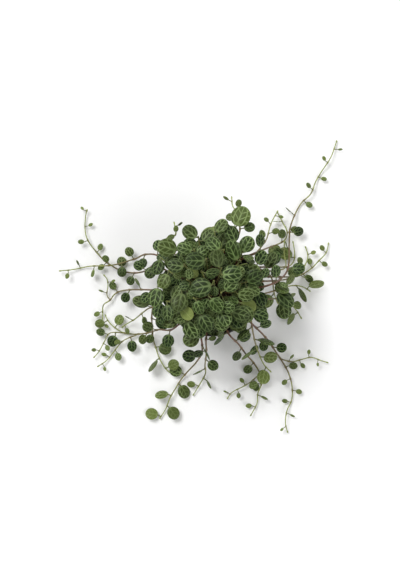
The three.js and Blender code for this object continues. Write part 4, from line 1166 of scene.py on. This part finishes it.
def make_pot(material):
    """a thin moulded pot: rolled lip, stepped band, shallow flutes, foot ring, drain holes"""
    angle = round_trip(POT_SIDES)
    lip = [(RIM - 0.1, POT_HEIGHT - 1.5), (RIM, POT_HEIGHT - 1.0), (RIM - 0.12, POT_HEIGHT - 0.5),
           (RIM - 0.45, POT_HEIGHT - 0.13), (RIM - 1.0, POT_HEIGHT),
           (inner_radius(POT_HEIGHT) + 0.75, POT_HEIGHT - 0.05),
           (inner_radius(POT_HEIGHT) + 0.25, POT_HEIGHT - 0.3),
           (inner_radius(POT_HEIGHT) + 0.05, POT_HEIGHT - 0.9)]
    outside = [(BASE - 2.6, 0.35), (BASE - 2.1, 0.05), (BASE - 0.8, 0.0), (BASE - 0.25, 0.25),
               (outer_radius(0.8), 0.8)]
    outside += [(outer_radius(z), z) for z in np.linspace(2, BAND_FOOT - 1.2, 24)]
    outside += [(outer_radius(BAND_FOOT) - 0.05, BAND_FOOT - 0.4),
                (outer_radius(BAND_FOOT) + 0.15, BAND_FOOT), (RIM - 0.5, BAND_FOOT + 0.35),
                (RIM - 0.12, BAND_FOOT + 0.7), (RIM - 0.1, BAND_FOOT + 1.3)]
    outside += [(RIM - 0.35, z) for z in (BAND_FOOT + 2, BAND_FOOT + 4, BAND_FOOT + 5.6)]
    inside = [(inner_radius(z), z) for z in np.linspace(POT_HEIGHT - 2, POT_FLOOR + 1.2, 14)]
    corner = inner_radius(POT_FLOOR)
    inside += [(corner - 0.3, POT_FLOOR + 0.3), (corner - 1, POT_FLOOR)]
    floor_up = [(r, POT_FLOOR) for r in (17.4, 11, 6, 2)]
    floor_down = [(r, 0.35) for r in (2, 6, 11, 17.4)]
    profile = np.array(outside + lip + inside + floor_up + floor_down)
    count = len(outside)
    rings = []
    for i, (r, z) in enumerate(profile):
        flute = np.zeros(POT_SIDES)
        if i < count and FLUTE_MARGIN < z < BAND_FOOT - FLUTE_MARGIN:
            ends = min(z - FLUTE_MARGIN, BAND_FOOT - FLUTE_MARGIN - z) / FLUTE_FADE
            hollow = np.clip(np.cos(angle * FLUTES) * 3 - 1.6, 0, 1)
            flute = -FLUTE_DEPTH * np.clip(ends, 0, 1) * hollow
        rings.append(np.column_stack([(r + flute) * np.cos(angle), (r + flute) * np.sin(angle),
                                      np.full(POT_SIDES, z)]))
    shape = Shape()
    faces = grid_faces(len(rings) + 1, POT_SIDES)
    last = len(rings) * POT_SIDES
    faces = [tuple(i % last for i in face) for face in faces]
    shape.add(np.concatenate(rings), faces)
    pot = shape.build("nursery_pot", material)
    for i in range(DRAIN_COUNT):
        turn = 2 * math.pi * i / DRAIN_COUNT
        place = [c * DRAIN_CIRCLE / 2 * MM for c in (math.cos(turn), math.sin(turn), 0)]
        bpy.ops.mesh.primitive_cylinder_add(vertices=DRAIN_SIDES, depth=0.01, location=place,
                                            radius=DRAIN_DIAMETER / 2 * MM)
        drill = bpy.context.object
        cut = pot.modifiers.new("drain", "BOOLEAN")
        cut.operation = "DIFFERENCE"
        cut.solver = "EXACT"
        cut.object = drill
        bpy.context.view_layer.objects.active = pot
        bpy.ops.object.modifier_apply(modifier=cut.name)
        bpy.data.objects.remove(drill)
    return pot


def make_soil(material):
    """crumbly potting mix that fills the pot, with bits of bark and perlite on it"""
    draw = draws_from(9173)
    angle = round_trip(SOIL_SIDES)
    top = POT_HEIGHT - SOIL_BELOW_LIP
    bottom = POT_FLOOR + CLEARANCE
    radii = np.linspace(SOIL_RADIUS, 0.6, SOIL_RINGS)
    waves = [(draw(0.15, 1.6), draw(0, 6.28), draw(0, 6.28)) for _ in range(SOIL_WAVES)]

    def rough(x, y):
        height = 0
        for pitch, way, phase in waves:
            height = height + 0.09 / (0.35 + pitch * 0.5) * np.sin(
                pitch * 2 * (x * math.cos(way) + y * math.sin(way)) + phase)
        return height
    rings = []
    for z in np.linspace(bottom, top - 1, 8):
        r = inner_radius(z) - CLEARANCE
        rings.append(np.column_stack([r * np.cos(angle), r * np.sin(angle),
                                      np.full(SOIL_SIDES, z)]))
    for r in radii:
        x, y = r * np.cos(angle), r * np.sin(angle)
        fade = min((SOIL_RADIUS - r) / 2, 1)
        z = soil_top(r) - 0.35 * fade + rough(x, y) * fade * 0.8
        rings.append(np.column_stack([x, y, z]))
    shape = Shape("grit")
    points = np.concatenate(rings + [[[0, 0, bottom]], [[0, 0, float(rings[-1][:, 2].mean())]]])
    shape.add(points, capped_faces(len(rings), SOIL_SIDES), grit=np.zeros(3))
    for i in range(CRUMBS):
        turn, r = draw(0, 6.2832), SOIL_RADIUS * 0.96 * math.sqrt(draw(0, 1))
        x, y = r * math.cos(turn), r * math.sin(turn)
        kind = 1.0 if i % 9 == 0 else (0.5 if i % 3 == 0 else 0.0)
        wide = draw(0.35, 0.95) * (1 if kind < 1 else 0.8)
        long = wide * (draw(1.4, 2.6) if kind == 0.5 else draw(0.9, 1.4))
        flat = wide * (0.4 if kind == 0.5 else 0.75)
        nub_faces, nub = crumb(draw)
        lean = draw(0, 6.2832)
        a = np.array([math.cos(lean), math.sin(lean), draw(-0.3, 0.3)])
        b = np.array([-math.sin(lean), math.cos(lean), draw(-0.3, 0.3)])
        middle = np.array([x, y, soil_top(r) - 0.3 + flat * 0.35])
        points = middle + nub[:, :1] * a * long + nub[:, 1:2] * b * wide + nub[:, 2:] * UP * flat
        shape.add(points, nub_faces, grit=np.full(3, kind))
    return shape.build("potting_mix", material)


def crumb(draw):
    """an uneven little lump"""
    rows, sides = 5, 8
    tilt = np.linspace(0, np.pi, rows + 2)[1:-1]
    turn = round_trip(sides)
    bumps = np.array([[draw(0.78, 1.15) for _ in turn] for _ in tilt])
    x = np.sin(tilt)[:, None] * np.cos(turn) * bumps
    y = np.sin(tilt)[:, None] * np.sin(turn) * bumps
    z = np.cos(tilt)[:, None] * bumps
    points = np.concatenate([np.stack([x, y, z], -1).reshape(-1, 3), [[0, 0, 0.9], [0, 0, -0.9]]])
    return [face[::-1] for face in capped_faces(rows, sides)], points


# ---- the plant in its pot

def add_piece(piece, slot, *nodes):
    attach(piece, "root")
    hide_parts(*nodes)


LEAF, STEM = leaf_material(), stem_material()
add_piece(make_pot(pot_material()), "pot_plastic", "pot")
add_piece(make_soil(soil_material()), "potting_mix", "soil")

plants = lay_out_plant()
for number, plant in enumerate(plants):
    name = plant["name"]
    trailing = name.startswith("vine")
    stems = Shape("look")
    blades = Shape("blade", "tone")
    draw = draws_from(5003 + 71 * number)
    ages = (0.05, 1.0) if trailing else (0.1, 0.8)
    grow_stem(stems, plant["stem"], plant["leaves"], ages, True,
              [b["at"] for b in plant["branches"]])
    for leaf in plant["leaves"]:
        grow_blade(blades, leaf, draw)
    for branch in plant["branches"]:
        grow_stem(stems, branch["stem"], branch["leaves"], (0.55, 1.0), False)
        for leaf in branch["leaves"]:
            grow_blade(blades, leaf, draw)
    add_piece(stems.build("stem_" + name, STEM), "stem", name)
    if blades.count:
        add_piece(blades.build("leaves_" + name, LEAF), "leaf", name)

# ---- floor, light and camera

def make_floor():
    bpy.ops.mesh.primitive_circle_add(vertices=96, radius=15, fill_type="TRIFAN",
                                      location=(0, 0, -0.0002))
    floor = bpy.context.object
    floor.name = "floor"
    n = Nodes("floor")
    shade = n.range(n.noise(n.place(), 3.0, 2.0), 0.3, 0.7)
    floor.data.materials.append(n.set(
        Base_Color=n.blend(shade, (0.93, 0.93, 0.93, 1), (0.95, 0.95, 0.95, 1)), Roughness=0.9,
        Specular_IOR_Level=0.1))


def add_light(name, azimuth, height, spread, strength):
    """a wide, far softbox: angles in degrees, strength in watts per square metre"""
    data = bpy.data.lights.new(name, "SUN")
    data.angle = math.radians(spread)
    data.energy = strength
    light = bpy.data.objects.new(name, data)
    light.rotation_euler = (math.radians(90 - height), 0, math.radians(azimuth + 90))
    bpy.context.scene.collection.objects.link(light)


make_floor()
add_light("key", 132.5, 52, 27, 2.1)
add_light("fill", -30, 48, 41, 0.85)
add_light("rim", 84, 32, 30, 0.6)
world = bpy.data.worlds.new("studio")
world.use_nodes = True
sky = world.node_tree
lit = sky.nodes["Background"]
way = sky.nodes.new("ShaderNodeTexCoord")
parts = sky.nodes.new("ShaderNodeSeparateXYZ")
rise = sky.nodes.new("ShaderNodeMapRange")
rise.interpolation_type = "SMOOTHSTEP"
for socket, value in ((1, 0.1), (2, 0.5), (3, 1.0), (4, 0.3)):
    rise.inputs[socket].default_value = value
sky.links.new(way.outputs["Generated"], parts.inputs[0])
sky.links.new(parts.outputs["Z"], rise.inputs[0])
sky.links.new(rise.outputs[0], lit.inputs["Strength"])
lit.inputs["Color"].default_value = (1, 1, 1, 1)
bpy.context.scene.world = world

lens = bpy.data.cameras.new("camera")
lens.sensor_fit = "HORIZONTAL"
lens.sensor_width = 36
lens.lens = 162
lens.dof.use_dof = False
lens.clip_start = 0.05
lens.clip_end = 40
camera = bpy.data.objects.new("camera", lens)
camera.location = (-0.008, 0.0033, 1.255)
bpy.context.scene.collection.objects.link(camera)
bpy.context.scene.camera = camera
bpy.context.scene.view_settings.view_transform = "Standard"
